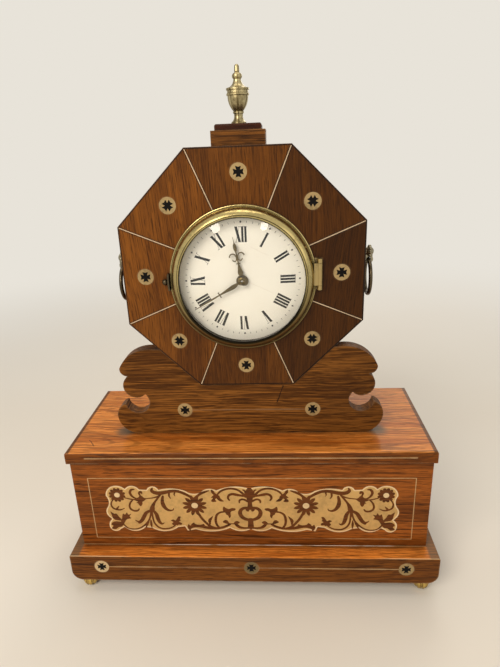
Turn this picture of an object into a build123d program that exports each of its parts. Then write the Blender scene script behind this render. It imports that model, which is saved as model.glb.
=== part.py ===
from build123d import *

import os
from math import atan2, cos, degrees, hypot, pi, radians, sin, sqrt, tan

# An octagonal mantel timepiece on a scroll-cut saddle and an inlaid base, as the shop would build it.
# Millimetres. The origin is on the ground under the middle of the plinth, +Z is up, the dial faces -Y.

# Feet
FOOT_HEIGHT = 14.0
FOOT_RADIUS = 7.4
FOOT_TOE = 4.3
FOOT_NECK = 4.8
FOOT_FLANGE = 5.8
FOOT_FLANGE_HEIGHT = 1.6
FOOT_LOBES = 9
FOOT_GROOVE = 1.1
FOOT_GROOVE_FROM = -60.0
FOOT_GROOVE_TO = 36.0
FOOT_INSET_SIDE = 12.0
FOOT_INSET_FRONT = 11.0

# Plinth under the box
PLINTH_WIDTH = 340.0
PLINTH_DEPTH = 138.0
PLINTH_HEIGHT = 28.0
PLINTH_RAIL = 29.0
PLINTH_ROUND = 10.0
PLINTH_BOARD = 6.0
PLINTH_EASE = 0.9

# Box and lid
LEDGE_SIDE = 9.0
LEDGE_FRONT = 15.5
LID_OVERHANG = 2.5
BOX_WIDTH = PLINTH_WIDTH - 2 * LEDGE_SIDE
BOX_DEPTH = PLINTH_DEPTH - LEDGE_FRONT - LID_OVERHANG
BOX_HEIGHT = 92.0
BOX_WALL = 10.0
LID_THICK = 11.0
LID_EDGE = 1.6

# Scroll-cut saddle, levels above the lid
SADDLE_WIDTH = 244.0
SADDLE_THICK = 12.0
SADDLE_RISE = 50.0
SADDLE_CROWN = 84.5
SADDLE_SETBACK = 1.2
LOBE_WIDTH = 18.0
LOBE_LEVEL = 18.0
SCROLL_INSET = 20.0
GAP_LEVEL = 33.0
GAP_RADIUS = 11.3
BELLY_LEVEL = 49.0
BELLY_RADIUS = 11.5
SHOULDER_INSET = 7.0
SHOULDER_LEVEL = 66.5
CROWN_INSET = 40.0
CRADLE_WIDTH = 140.0
CRADLE_HEIGHT = 74.0
CRADLE_DEPTH = 42.0

# Octagonal case
OCTAGON = 201.0
FRONT_THICK = 8.0
FRONT_EASE = 0.7
HOOP_THICK = 12.0
DOOR_REBATE = 3.0

# Inlay: stringing, roundels and the foliage panel
STRING_WIDTH = 0.7
STRING_DEPTH = 0.8
ROUNDEL_RADIUS = 6.8
INLAY_DEPTH = 1.2
CROSS_RADIUS = 4.3
CROSS_FLARE = 2.3
CROSS_WAIST = 2.1
CROSS_NOTCH = 0.7
SADDLE_ROUNDEL_X = 58.5
SADDLE_ROUNDEL_LEVEL = 24.2
PLINTH_ROUNDEL_INSET = 29.4
PLINTH_ROUNDEL_X = PLINTH_WIDTH / 2 - PLINTH_ROUNDEL_INSET
PLINTH_ROUNDEL_LEVEL = 16.0
LID_STRING_INSET = 15.0
FRAME_INSET = 13.5
FRAME_LOW = 8.5
FRAME_TOP = 17.0
INLAY_INSET = 13.1
INLAY_BELOW = 7.5
INLAY_ABOVE = 8.0
LID_STRING_HALF = BOX_WIDTH / 2 - LID_STRING_INSET
FRAME_HALF = BOX_WIDTH / 2 - FRAME_INSET
FRAME_HIGH = BOX_HEIGHT - FRAME_TOP
INLAY_HALF = FRAME_HALF - INLAY_INSET
INLAY_LOW = FRAME_LOW + INLAY_BELOW
INLAY_HEIGHT = FRAME_HIGH - INLAY_ABOVE - INLAY_LOW

# Cap and finial
CAP_WIDTH = 43.0
CAP_DEPTH = 36.0
CAP_HEIGHT = 11.5
SLAB_WIDTH = 37.0
SLAB_DEPTH = 30.0
SLAB_HEIGHT = 4.8
FINIAL_HEIGHT = 43.2
FINIAL_RIM = 9.1
FINIAL_SPIGOT = 2.2
FINIAL_SPIGOT_LENGTH = 10.0

# Ring handles
BOSS_LEVEL = 11.0
BOSS_PLATE = 7.0
BOSS_NECK = 3.2
BOSS_HEAD = 4.0
BOSS_REACH = 11.6
BOSS_PETALS = 8
BOSS_PETAL = 1.7
EYE_DROP = 6.7
EYE_OUT = 7.2
EYE_WIDTH = 4.0
EYE_WALL = 1.7
RING_RADIUS = 15.2
RING_WIRE = 1.7
RING_CLEAR = 0.35

# Bezel, glass and dial
DIAL_DROP = 4.0
DIAL_RADIUS = 53.8
BEZEL_BAND = 7.2
DIAL_COVER = 2.3
GLASS_LAND = 1.7
BEZEL_RADIUS = DIAL_RADIUS + BEZEL_BAND
SIGHT_RADIUS = DIAL_RADIUS - DIAL_COVER
GLASS_RADIUS = SIGHT_RADIUS + GLASS_LAND
BEZEL_GAP = 0.2
GLASS_CLEAR = 3.6
GLASS_THICK = 1.5
GLASS_RISE = 6.0
LIP_THICK = 1.8
RETAINER_WIDTH = 1.2
RETAINER_HEIGHT = 1.6
THUMB_BALL = 2.6
THUMB_CLEAR = 0.4
THUMB_BAND = 1.4
THUMB_DEPTH = 4.6
THUMB_TURN = 6.5
DIAL_CROWN = 4.0
DIAL_THICK = 1.2
DIAL_EDGE = 1.0
APERTURE_CLEAR = 0.7
DIAL_FOOT_INSET = 9.8
DIAL_FOOT_RING = DIAL_RADIUS - DIAL_FOOT_INSET
DIAL_FOOT = 1.5

# Hinges
KNUCKLE = 2.2
PIN = 1.0
PIN_CLEAR = 0.05
LEAF = 1.2
KNUCKLE_GAP = 0.2
BEZEL_HINGE = 26.0
BEZEL_HINGE_RISE = 3.5
BEZEL_LEAF = 8.6
DOOR_HINGE = 40.0
DOOR_LEAF = 13.0

# Hands
HOUR_TIP_INSET = 15.0
HOUR_LENGTH = SIGHT_RADIUS - HOUR_TIP_INSET
FLEUR_INSET = 15.7
HOUR_FLEUR = HOUR_LENGTH - FLEUR_INSET
MINUTE_TIP_INSET = 4.7
MINUTE_LENGTH = SIGHT_RADIUS - MINUTE_TIP_INSET
CROSSBAR_INSET = 24.8
MINUTE_CROSS = MINUTE_LENGTH - CROSSBAR_INSET
HAND_THICK = 0.8
HAND_HUB = 5.0
HAND_WIDTH = 1.5
HOUR_HAND_AT = 4.8
MINUTE_HAND_AT = 6.6
BEZEL_HEIGHT = MINUTE_HAND_AT + HAND_THICK + GLASS_CLEAR
COLLET_RADIUS = 4.4
COLLET_HEIGHT = 1.5
TIME_HOURS = 11
TIME_MINUTES = 40

# Movement plates
DIAL_PLATE_MARGIN = 6.2
DIAL_PLATE_RADIUS = DIAL_RADIUS + DIAL_PLATE_MARGIN
PLATE_THICK = 2.0
PLATE_RADIUS = 48.0
MOTION_SPACE = 7.0
PLATE_SPACE = 22.0
PILLAR = 3.0
PILLAR_INSET = 4.5
PILLAR_RING = PLATE_RADIUS - PILLAR_INSET
PILLAR_ANGLES = (60, 135, 280, 345)
DIAL_PILLAR_INSET = 8.0
DIAL_PILLAR_RING = PLATE_RADIUS - DIAL_PILLAR_INSET
RUN = 0.05
PRESS = 0.02

# Going train: teeth, modules and levels behind the front plate
MODULE_GREAT = 0.50
MODULE_CENTRE = 0.42
MODULE_THIRD = 0.38
MODULE_CANNON = 0.50
MODULE_HOUR = 0.48
GREAT_TEETH = 84
CENTRE_LEAVES = 12
CENTRE_TEETH = 84
THIRD_LEAVES = 6
THIRD_TEETH = 78
ESCAPE_LEAVES = 6
CANNON_LEAVES = 12
MINUTE_TEETH = 36
MINUTE_LEAVES = 10
HOUR_TEETH = 40
ESCAPE_TEETH = 32
ESCAPE_RADIUS = 10.0
BARREL_ANGLE = 215.0
THIRD_ANGLE = 50.0
MINUTE_ANGLE = -30.0
WHEEL_THICK = 1.2
WHEEL_SHARE = 0.42
WHEEL_TIP = 1.05
WHEEL_ROOT = 1.35
LEAF_SHARE = 0.32
LEAF_TIP = 0.70
LEAF_ROOT = 1.60
CENTRE_ARBOR = 1.0
ARBOR = 0.6
PIVOT = 0.4
CANNON_PIPE = 2.0
HOUR_PIPE = 2.9
PIPE_CLEAR = 0.08
STUD = 0.9
CENTRE_WHEEL_AT = 1.4
GREAT_WHEEL_AT = 4.6
BARREL_LENGTH = 12.5
BARREL_RADIUS = 18.0
BARREL_WALL = 1.2
BARREL_ARBOR = 2.0
BARREL_PIVOT = 1.6
SPRING_STRIP = 0.7
SPRING_PITCH = 1.5
SPRING_HALF_TURNS = 11
SPRING_START = 7.0
THIRD_WHEEL_AT = 11.0
ESCAPE_WHEEL_AT = 17.0
WINDING_SQUARE = 3.2
WINDING_LENGTH = 7.0
RATCHET_RADIUS = 8.5
RATCHET_TEETH = 24
RATCHET_DEPTH = 1.1
RATCHET_THICK = 1.5
CLICK_X = 11.5
CLICK_Z = 8.0
CLICK_NOSE = 0.4
CLICK_PIVOT = 1.3

# Escapement and pendulum
ANCHOR_RISE = 13.2
ANCHOR_HUB = 2.2
PENDULUM_LENGTH = 0.475 * OCTAGON
ROD = 0.9
BOB_RADIUS = 13.0
BOB_THICK = 5.0
NUT_RADIUS = 2.6
NUT_HEIGHT = 2.2
PENDULUM_AT = 6.2
BOB_CLEAR = 1.3
CRUTCH_LENGTH = 26.0
COCK_HALF = 16.0
COCK_HEIGHT = 7.0
COCK_THICK = 1.6
COCK_STANDOFF = 2.6
CHOPS_HALF = 3.0
CHOPS_HEIGHT = 5.0
CHOPS_SLOT = 0.9

# Back door
DOOR_THICK = 7.0
DOOR_GAP = 0.6
DOOR_GLASS = 69.0
DOOR_GLASS_LAND = 3.0
DOOR_SIGHT = DOOR_GLASS - DOOR_GLASS_LAND
DOOR_GLASS_THICK = 2.0
DOOR_GLASS_AT = 2.5
KNOB_INSET = 11.0
KNOB_RADIUS = 5.0
KNOB_REACH = 10.0

# Levels and places that follow from the sizes above
ROUNDEL_RING_SHIFT = 0.7
CASE_ROUNDEL_RING = (BEZEL_RADIUS + OCTAGON / 2) / 2 + ROUNDEL_RING_SHIFT
MOVEMENT_DEPTH = MOTION_SPACE + PLATE_SPACE + 3 * PLATE_THICK
CASE_DEPTH = FRONT_THICK + MOVEMENT_DEPTH + PENDULUM_AT + BOB_THICK / 2 + BOB_CLEAR + DOOR_THICK
PLINTH_Z = FOOT_HEIGHT
BOX_Z = PLINTH_Z + PLINTH_HEIGHT
LID_Z = BOX_Z + BOX_HEIGHT
LID_TOP = LID_Z + LID_THICK
OCT_Z = LID_TOP + SADDLE_RISE + OCTAGON / 2
OCT_TOP = OCT_Z + OCTAGON / 2
DIAL_Z = OCT_Z - DIAL_DROP
HINGE_Z = DIAL_Z + BEZEL_HINGE_RISE
LID_BACK = PLINTH_DEPTH / 2
BOX_BACK = LID_BACK - LID_OVERHANG
BOX_FRONT = BOX_BACK - BOX_DEPTH
LID_FRONT = BOX_FRONT - LID_OVERHANG
CASE_Y = (LID_FRONT + LID_BACK) / 2
FRONT_Y = CASE_Y - CASE_DEPTH / 2
BACK_Y = CASE_Y + CASE_DEPTH / 2
SADDLE_Y = FRONT_Y + SADDLE_SETBACK
VERTEX = OCTAGON / 2 / cos(pi / 8)
DIAL_PLATE_Y = FRONT_Y + FRONT_THICK
PLATE_A = DIAL_PLATE_Y + PLATE_THICK + MOTION_SPACE
PLATE_A_BACK = PLATE_A + PLATE_THICK
PLATE_B = PLATE_A_BACK + PLATE_SPACE
PLATE_B_BACK = PLATE_B + PLATE_THICK

HOUR_ANGLE = (TIME_HOURS + TIME_MINUTES / 60) * 30
MINUTE_HAND_ANGLE = TIME_MINUTES * 6


def polar(reach, angle):
    return (reach * cos(radians(angle)), reach * sin(radians(angle)))


# Arbor places in (x, z) from the middle of the dial
GREAT_REACH = (GREAT_TEETH + CENTRE_LEAVES) * MODULE_GREAT / 2
THIRD_REACH = (CENTRE_TEETH + THIRD_LEAVES) * MODULE_CENTRE / 2
ESCAPE_REACH = (THIRD_TEETH + ESCAPE_LEAVES) * MODULE_THIRD / 2
MINUTE_REACH = (CANNON_LEAVES + MINUTE_TEETH) * MODULE_CANNON / 2
CENTRE_AT = (0.0, 0.0)
BARREL_AT = polar(GREAT_REACH, BARREL_ANGLE)
THIRD_AT = polar(THIRD_REACH, THIRD_ANGLE)
ESCAPE_AT = (0.0, THIRD_AT[1] + sqrt(ESCAPE_REACH**2 - THIRD_AT[0] ** 2))
ANCHOR_AT = (0.0, ESCAPE_AT[1] + ANCHOR_RISE)
MINUTE_AT = polar(MINUTE_REACH, MINUTE_ANGLE)
CLICK_AT = (BARREL_AT[0] + CLICK_X, BARREL_AT[1] + CLICK_Z)


def board(x0, x1, y0, y1, z0, z1):
    """A square-edged board between two corners."""
    return Pos((x0 + x1) / 2, (y0 + y1) / 2, (z0 + z1) / 2) * Box(x1 - x0, y1 - y0, z1 - z0)


def plate(face, y0, y1, at=(0.0, 0.0)):
    """A face drawn in (x, z), set at a place and given depth from y0 back to y1."""
    return extrude(Plane.XZ.offset(-y1) * Pos(at[0], at[1]) * face, amount=y1 - y0)


def profile(start, *steps):
    """A closed face: a step is a point for a line, or a pair (via, end) for an arc."""
    edges = []
    here = start
    for step in steps:
        if isinstance(step[0], tuple):
            edges.append(ThreePointArc(here, step[0], step[1]))
            here = step[1]
        else:
            edges.append(Line(here, step))
            here = step
    if here != start:
        edges.append(Line(here, start))
    return make_face(edges)


def capped(radius, base, rise):
    """The arc of a round cap from its edge up to the axis, as (via, end)."""
    ball = (radius**2 + rise**2) / (2 * rise)
    half = radius / 2
    drop = abs(ball) - sqrt(ball**2 - half**2)
    return ((half, base + rise - (drop if rise > 0 else -drop)), (0, base + rise))


def turned_y(face, at=(0.0, 0.0), y=0.0):
    """A face in (radius, depth) turned about a line along Y through a place (x, z)."""
    return Pos(at[0], y, at[1]) * revolve(face, Axis.Y)


def turned_z(face, x, y, z):
    """A face in (radius, height) turned about an upright line."""
    return Pos(x, y, z) * Rot(90, 0, 0) * revolve(face, Axis.Y)


def rod_y(radius, y0, y1, at=(0.0, 0.0)):
    """A round bar along Y."""
    return plate(Circle(radius), y0, y1, at)


def rod_z(radius, z0, z1, x, y):
    """A round bar along Z."""
    return Pos(x, y, (z0 + z1) / 2) * Cylinder(radius, z1 - z0)


def octagon(across):
    """A regular octagon with a flat on top, in (x, z) about its middle."""
    reach = across / 2 / cos(pi / 8)
    return make_face(Polyline(*[polar(reach, 22.5 + 45 * k) for k in range(8)], close=True))


def both(shape):
    """A right-hand piece and its mirror image."""
    return [shape, mirror(shape, about=Plane.YZ)]


def dial(at):
    """A place from the middle of the dial, as (x, z) in the frame."""
    return (at[0], DIAL_Z + at[1])


# Roundels: their places, and the turn of each cross
ROUNDELS_CASE = [(polar(CASE_ROUNDEL_RING, 45 * k), 45 * k) for k in range(8)]


def cross_face(turn):
    """A cross whose four arms flare and are notched at the ends."""
    points = []
    for k in range(4):
        for reach, side in ((CROSS_RADIUS, -CROSS_FLARE), (CROSS_RADIUS - CROSS_NOTCH, 0), (CROSS_RADIUS, CROSS_FLARE)):
            points.append(polar(hypot(reach, side), turn + 90 * k + degrees(atan2(side, reach))))
        points.append(polar(CROSS_WAIST, turn + 90 * k + 45))
    return make_face(Polyline(*points, close=True))


def roundel_places():
    """Every roundel as (x, z, front face y, turn)."""
    places = [(at[0], OCT_Z + at[1], FRONT_Y, turn) for at, turn in ROUNDELS_CASE]
    for side in (-1, 1):
        places.append((side * SADDLE_ROUNDEL_X, LID_TOP + SADDLE_ROUNDEL_LEVEL, SADDLE_Y, 0))
    for side in (-1, 0, 1):
        places.append((side * PLINTH_ROUNDEL_X, PLINTH_Z + PLINTH_ROUNDEL_LEVEL, -PLINTH_DEPTH / 2, 0))
    return places


def roundel_pockets(front):
    """The round pockets on one front face."""
    pockets = []
    for x, z, y, turn in roundel_places():
        if y == front:
            pockets.append(rod_y(ROUNDEL_RADIUS, y, y + INLAY_DEPTH, (x, z)))
    return pockets


def case_strings():
    """Eight lines from under the bezel, which hangs below the middle, to the corners of the octagon."""
    under = BEZEL_RADIUS - 3 * STRING_WIDTH
    end = VERTEX - 2 * STRING_WIDTH
    strips = []
    for k in range(8):
        turn = 22.5 + 45 * k
        sink = DIAL_DROP * sin(radians(turn))
        start = sink + sqrt(under**2 - DIAL_DROP**2 + sink**2)
        strip = board(start, end, FRONT_Y, FRONT_Y + STRING_DEPTH, -STRING_WIDTH / 2, STRING_WIDTH / 2)
        strips.append(Pos(0, 0, OCT_Z) * Rot(0, turn, 0) * strip)
    return strips


def flat_string(x0, x1, z, front):
    """A level line let into a front face."""
    return board(x0, x1, front, front + STRING_DEPTH, z - STRING_WIDTH / 2, z + STRING_WIDTH / 2)


def saddle_strings():
    return [flat_string(-SADDLE_ROUNDEL_X, SADDLE_ROUNDEL_X, LID_TOP + SADDLE_ROUNDEL_LEVEL, SADDLE_Y)]


def lid_strings():
    return [flat_string(-LID_STRING_HALF, LID_STRING_HALF, LID_Z + LID_THICK / 2, LID_FRONT)]


def box_strings():
    """A rectangle of four lines, and one more along the foot of the box."""
    low = BOX_Z + FRAME_LOW
    high = BOX_Z + FRAME_HIGH
    half = STRING_WIDTH / 2
    lines = [flat_string(-FRAME_HALF, FRAME_HALF, z, BOX_FRONT) for z in (low, high)]
    for side in (-1, 1):
        x = side * (FRAME_HALF - half)
        lines.append(board(x - half, x + half, BOX_FRONT, BOX_FRONT + STRING_DEPTH, low + half, high - half))
    lines.append(flat_string(-BOX_WIDTH / 2, BOX_WIDTH / 2, BOX_Z + half, BOX_FRONT))
    return lines


def plinth_strings():
    level = PLINTH_Z + PLINTH_ROUNDEL_LEVEL
    return [flat_string(-PLINTH_ROUNDEL_X, PLINTH_ROUNDEL_X, level, -PLINTH_DEPTH / 2)]


def base_strings():
    """Every line on the saddle, lid, box and plinth, stopped at the rims of the roundels."""
    lines = lid_strings() + box_strings()
    for front, strings in ((SADDLE_Y, saddle_strings()), (-PLINTH_DEPTH / 2, plinth_strings())):
        for line in strings:
            for pocket in roundel_pockets(front):
                line -= pocket
            lines.append(line)
    return lines


def feet():
    """Four lobed bun feet."""
    bulge = FOOT_HEIGHT - FOOT_FLANGE_HEIGHT
    low = (FOOT_TOE, 0.04 * FOOT_HEIGHT)
    middle = (FOOT_RADIUS, 0.55 * bulge)
    high = (FOOT_NECK, bulge)
    face = profile(
        (0, 0),
        (FOOT_TOE - FOOT_GROOVE, 0),
        low,
        (middle, high),
        (FOOT_FLANGE, bulge),
        (FOOT_FLANGE, FOOT_HEIGHT),
        (0, FOOT_HEIGHT),
    )
    foot = turned_z(face, 0, 0, 0)
    arc = ThreePointArc(low, middle, high)
    hub = arc.arc_center
    for k in range(FOOT_LOBES):
        bend = Torus(arc.radius, FOOT_GROOVE, major_angle=FOOT_GROOVE_TO - FOOT_GROOVE_FROM, align=None)
        cutter = Pos(hub.X, 0, hub.Y) * bend.rotate(Axis.Z, FOOT_GROOVE_FROM).rotate(Axis.X, 90)
        foot -= Rot(0, 0, 360 / FOOT_LOBES * (k + 0.5)) * cutter
    x = PLINTH_WIDTH / 2 - FOOT_INSET_SIDE
    y = PLINTH_DEPTH / 2 - FOOT_INSET_FRONT
    return [Pos(sx * x, sy * y, 0) * foot for sx in (-1, 1) for sy in (-1, 1)]


def plinth_rails():
    """Front, back and end rails, the lower outer ends rounded."""
    half = PLINTH_WIDTH / 2
    depth = PLINTH_DEPTH / 2
    top = PLINTH_Z + PLINTH_HEIGHT
    r = PLINTH_ROUND
    turn = r * (1 - cos(pi / 4))
    face = profile(
        (-half, top),
        (-half, PLINTH_Z + r),
        ((-half + turn, PLINTH_Z + turn), (-half + r, PLINTH_Z)),
        (half - r, PLINTH_Z),
        ((half - turn, PLINTH_Z + turn), (half, PLINTH_Z + r)),
        (half, top),
    )
    whole = plate(face, -depth, depth)
    whole = fillet(whole.edges().group_by(Axis.Z)[-1], PLINTH_EASE)
    inner = depth - PLINTH_RAIL
    front = whole & board(-half, half, -depth, -inner, PLINTH_Z, top)
    for cutter in roundel_pockets(-depth) + plinth_strings():
        front -= cutter
    back = whole & board(-half, half, inner, depth, PLINTH_Z, top)
    end = whole & board(half - PLINTH_RAIL, half, -inner, inner, PLINTH_Z, top)
    return [front, back] + both(end)


def plinth_bottom():
    """The board that closes the underside, let in between the rails."""
    x = PLINTH_WIDTH / 2 - PLINTH_RAIL
    y = PLINTH_DEPTH / 2 - PLINTH_RAIL
    return board(-x, x, -y, y, PLINTH_Z + PLINTH_BOARD, PLINTH_Z + 2 * PLINTH_BOARD)


def inlay_face():
    """The scalloped outline of the foliage panel, as shares of its half width and height."""
    right = (
        (0, 0.94),
        ((0.112, 0.985), (0.223, 0.90)),
        ((0.260, 0.937), (0.327, 0.869)),
        ((0.385, 0.831), (0.434, 0.890)),
        ((0.513, 0.941), (0.618, 0.912)),
        ((0.657, 0.988), (0.699, 0.912)),
        (0.751, 0.922),
        ((0.802, 1.0), (0.848, 0.931)),
        ((0.949, 0.971), (0.987, 0.784)),
        ((0.972, 0.660), (0.985, 0.540)),
        ((1.0, 0.430), (0.980, 0.310)),
        (0.966, 0.270),
        ((0.992, 0.160), (0.985, 0.050)),
        ((0.955, 0.0), (0.915, 0.050)),
        (0.885, 0.095),
        ((0.818, 0.004), (0.740, 0.094)),
        (0.690, 0.076),
        ((0.600, 0.0), (0.508, 0.094)),
        (0.459, 0.116),
        (0.443, 0.018),
        (0.385, 0.051),
        ((0.270, 0.0), (0.144, 0.084)),
        ((0.075, 0.012), (0, 0.063)),
    )

    def place(point):
        return (point[0] * INLAY_HALF, BOX_Z + INLAY_LOW + point[1] * INLAY_HEIGHT)

    steps = []
    for step in right:
        steps.append((place(step[0]), place(step[1])) if isinstance(step[0], tuple) else place(step))
    half = profile(*steps)
    return half + mirror(half, about=Plane.YZ)


def box_inlay():
    return plate(inlay_face(), BOX_FRONT, BOX_FRONT + INLAY_DEPTH)


def box_front():
    """The front board with its pocket for the panel and its string grooves."""
    half = BOX_WIDTH / 2
    shape = board(-half, half, BOX_FRONT, BOX_FRONT + BOX_WALL, BOX_Z, LID_Z)
    shape -= box_inlay()
    for cutter in box_strings():
        shape -= cutter
    return shape


def box_back():
    half = BOX_WIDTH / 2
    return board(-half, half, BOX_BACK - BOX_WALL, BOX_BACK, BOX_Z, LID_Z)


def box_sides():
    half = BOX_WIDTH / 2
    return both(board(half - BOX_WALL, half, BOX_FRONT + BOX_WALL, BOX_BACK - BOX_WALL, BOX_Z, LID_Z))


def lid_board():
    """The top board, its upper edge eased."""
    half = BOX_WIDTH / 2 + LID_OVERHANG
    shape = board(-half, half, LID_FRONT, LID_BACK, LID_Z, LID_TOP)
    shape = fillet(shape.edges().group_by(Axis.Z)[-1], LID_EDGE)
    for cutter in lid_strings():
        shape -= cutter
    return shape


def saddle_face():
    """The scrolled outline, right half from the lid up to the crown, then mirrored."""
    end = SADDLE_WIDTH / 2
    middle = end - SCROLL_INSET
    tip_turn = -8
    tip = (middle + GAP_RADIUS * cos(radians(tip_turn)), GAP_LEVEL + GAP_RADIUS * sin(radians(tip_turn)))
    apart = BELLY_LEVEL - GAP_LEVEL
    along = (GAP_RADIUS**2 - BELLY_RADIUS**2 + apart**2) / (2 * apart)
    cusp = (middle - sqrt(GAP_RADIUS**2 - along**2), GAP_LEVEL + along)
    gap_low = (middle + polar(GAP_RADIUS, 225)[0], GAP_LEVEL + polar(GAP_RADIUS, 225)[1])
    belly = (middle + polar(BELLY_RADIUS, -45)[0], BELLY_LEVEL + polar(BELLY_RADIUS, -45)[1])
    notch = (middle + polar(BELLY_RADIUS, 60)[0], BELLY_LEVEL + polar(BELLY_RADIUS, 60)[1])
    shoulder = (end - SHOULDER_INSET, SHOULDER_LEVEL)
    under = (shoulder[0] - 0.2 * (shoulder[0] - notch[0]), notch[1] + 0.33 * (shoulder[1] - notch[1]))
    crown = (end - CROWN_INSET, SADDLE_CROWN)
    brow = (
        crown[0] + 0.667 * (shoulder[0] - crown[0]),
        crown[1] - 0.278 * (crown[1] - shoulder[1]),
    )
    half = profile(
        (0, 0),
        (end - LOBE_WIDTH, 0),
        ((end - 0.27 * LOBE_WIDTH, 0.36 * LOBE_LEVEL), (end, LOBE_LEVEL)),
        ((end - 0.27 * (end - tip[0]), LOBE_LEVEL + 0.65 * (tip[1] - LOBE_LEVEL)), tip),
        (gap_low, cusp),
        (belly, notch),
        (under, shoulder),
        (brow, crown),
        (0, SADDLE_CROWN),
    )
    return half + mirror(half, about=Plane.YZ)


def saddle_front():
    """The scroll-cut board that the octagon sits down into."""
    shape = plate(saddle_face(), SADDLE_Y, SADDLE_Y + SADDLE_THICK, (0, LID_TOP))
    shape -= plate(octagon(OCTAGON), SADDLE_Y, SADDLE_Y + SADDLE_THICK, (0, OCT_Z))
    for cutter in roundel_pockets(SADDLE_Y) + saddle_strings():
        shape -= cutter
    return shape


def saddle_block():
    """The block behind the scroll board that carries the weight of the case."""
    y0 = SADDLE_Y + SADDLE_THICK
    shape = board(-CRADLE_WIDTH / 2, CRADLE_WIDTH / 2, y0, y0 + CRADLE_DEPTH, LID_TOP, LID_TOP + CRADLE_HEIGHT)
    return shape - plate(octagon(OCTAGON), y0, y0 + CRADLE_DEPTH, (0, OCT_Z))


def bezel_leaf_pocket():
    """The shallow mortise for the fixed leaf of the bezel hinge."""
    axis = BEZEL_RADIUS + KNUCKLE + KNUCKLE_GAP
    half = BEZEL_HINGE / 2
    x1 = axis + KNUCKLE
    return board(x1 - BEZEL_LEAF, x1, FRONT_Y, FRONT_Y + LEAF, HINGE_Z - half, HINGE_Z + half)


def case_front():
    """The octagonal front board: dial aperture, string grooves, roundel pockets, hinge mortise."""
    shape = plate(octagon(OCTAGON), FRONT_Y, FRONT_Y + FRONT_THICK, (0, OCT_Z))
    shape = fillet(shape.edges().group_by(Axis.Y)[0], FRONT_EASE)
    shape -= rod_y(DIAL_RADIUS + APERTURE_CLEAR, FRONT_Y, FRONT_Y + FRONT_THICK, (0, DIAL_Z))
    for cutter in roundel_pockets(FRONT_Y) + case_strings():
        shape -= cutter
    return shape - bezel_leaf_pocket()


def case_hoop():
    """Eight mitred boards behind the front, rebated at the back for the door."""
    def stave(thick):
        inner = OCTAGON / 2 - thick
        outer = OCTAGON / 2
        slope = tan(pi / 8)
        points = [(outer, -outer * slope), (outer, outer * slope), (inner, inner * slope), (inner, -inner * slope)]
        return make_face(Polyline(*points, close=True))

    y0 = FRONT_Y + FRONT_THICK
    y1 = BACK_Y - DOOR_THICK
    whole = plate(stave(HOOP_THICK), y0, y1) + plate(stave(HOOP_THICK - DOOR_REBATE), y1, BACK_Y)
    return [Pos(0, 0, OCT_Z) * Rot(0, 45 * k, 0) * whole for k in range(8)]


def inlay_roundels():
    """Thin discs, each with a cross cut through it."""
    discs = []
    for x, z, y, turn in roundel_places():
        discs.append(plate(Circle(ROUNDEL_RADIUS) - cross_face(turn), y, y + INLAY_DEPTH, (x, z)))
    return discs


def inlay_crosses():
    return [plate(cross_face(turn), y, y + INLAY_DEPTH, (x, z)) for x, z, y, turn in roundel_places()]


def cap_block():
    """The lower block on the top facet, bored for the finial."""
    shape = board(-CAP_WIDTH / 2, CAP_WIDTH / 2, CASE_Y - CAP_DEPTH / 2, CASE_Y + CAP_DEPTH / 2, OCT_TOP, OCT_TOP + CAP_HEIGHT)
    bore = OCT_TOP + CAP_HEIGHT + SLAB_HEIGHT - FINIAL_SPIGOT_LENGTH
    return shape - rod_z(FINIAL_SPIGOT + PRESS, bore, OCT_TOP + CAP_HEIGHT, 0, CASE_Y)


def cap_slab():
    """The upper slab with rounded edges."""
    z0 = OCT_TOP + CAP_HEIGHT
    shape = board(-SLAB_WIDTH / 2, SLAB_WIDTH / 2, CASE_Y - SLAB_DEPTH / 2, CASE_Y + SLAB_DEPTH / 2, z0, z0 + SLAB_HEIGHT)
    shape = fillet(shape.edges().group_by(Axis.Z)[-1], 0.35 * SLAB_HEIGHT)
    return shape - rod_z(FINIAL_SPIGOT + PRESS, z0, z0 + SLAB_HEIGHT, 0, CASE_Y)


def finial():
    """A turned covered urn on a spigot, in shares of its height and rim."""
    h = FINIAL_HEIGHT
    r = FINIAL_RIM
    face = profile(
        (0, -FINIAL_SPIGOT_LENGTH),
        (FINIAL_SPIGOT, -FINIAL_SPIGOT_LENGTH),
        (FINIAL_SPIGOT, 0),
        (0.66 * r, 0),
        (0.66 * r, 0.03 * h),
        ((0.46 * r, 0.075 * h), (0.385 * r, 0.14 * h)),
        (0.40 * r, 0.175 * h),
        (0.48 * r, 0.185 * h),
        (0.48 * r, 0.21 * h),
        (0.43 * r, 0.22 * h),
        ((0.76 * r, 0.325 * h), (0.90 * r, 0.475 * h)),
        (0.99 * r, 0.485 * h),
        (0.99 * r, 0.515 * h),
        (0.92 * r, 0.525 * h),
        (0.92 * r, 0.565 * h),
        (r, 0.575 * h),
        (r, 0.605 * h),
        (0.70 * r, 0.625 * h),
        ((0.45 * r, 0.675 * h), (0.33 * r, 0.74 * h)),
        (0.33 * r, 0.755 * h),
        ((0.44 * r, 0.80 * h), (0.27 * r, 0.855 * h)),
        (0.20 * r, 0.87 * h),
        (0.23 * r, 0.885 * h),
        (0.20 * r, 0.965 * h),
        capped(0.20 * r, 0.965 * h, 0.035 * h),
    )
    return turned_z(face, 0, CASE_Y, OCT_TOP + CAP_HEIGHT + SLAB_HEIGHT)


EYE_X = OCTAGON / 2 + EYE_OUT
EYE_Z = OCT_Z + BOSS_LEVEL - EYE_DROP
EYE_HOLE = RING_WIRE + RING_CLEAR


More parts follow.
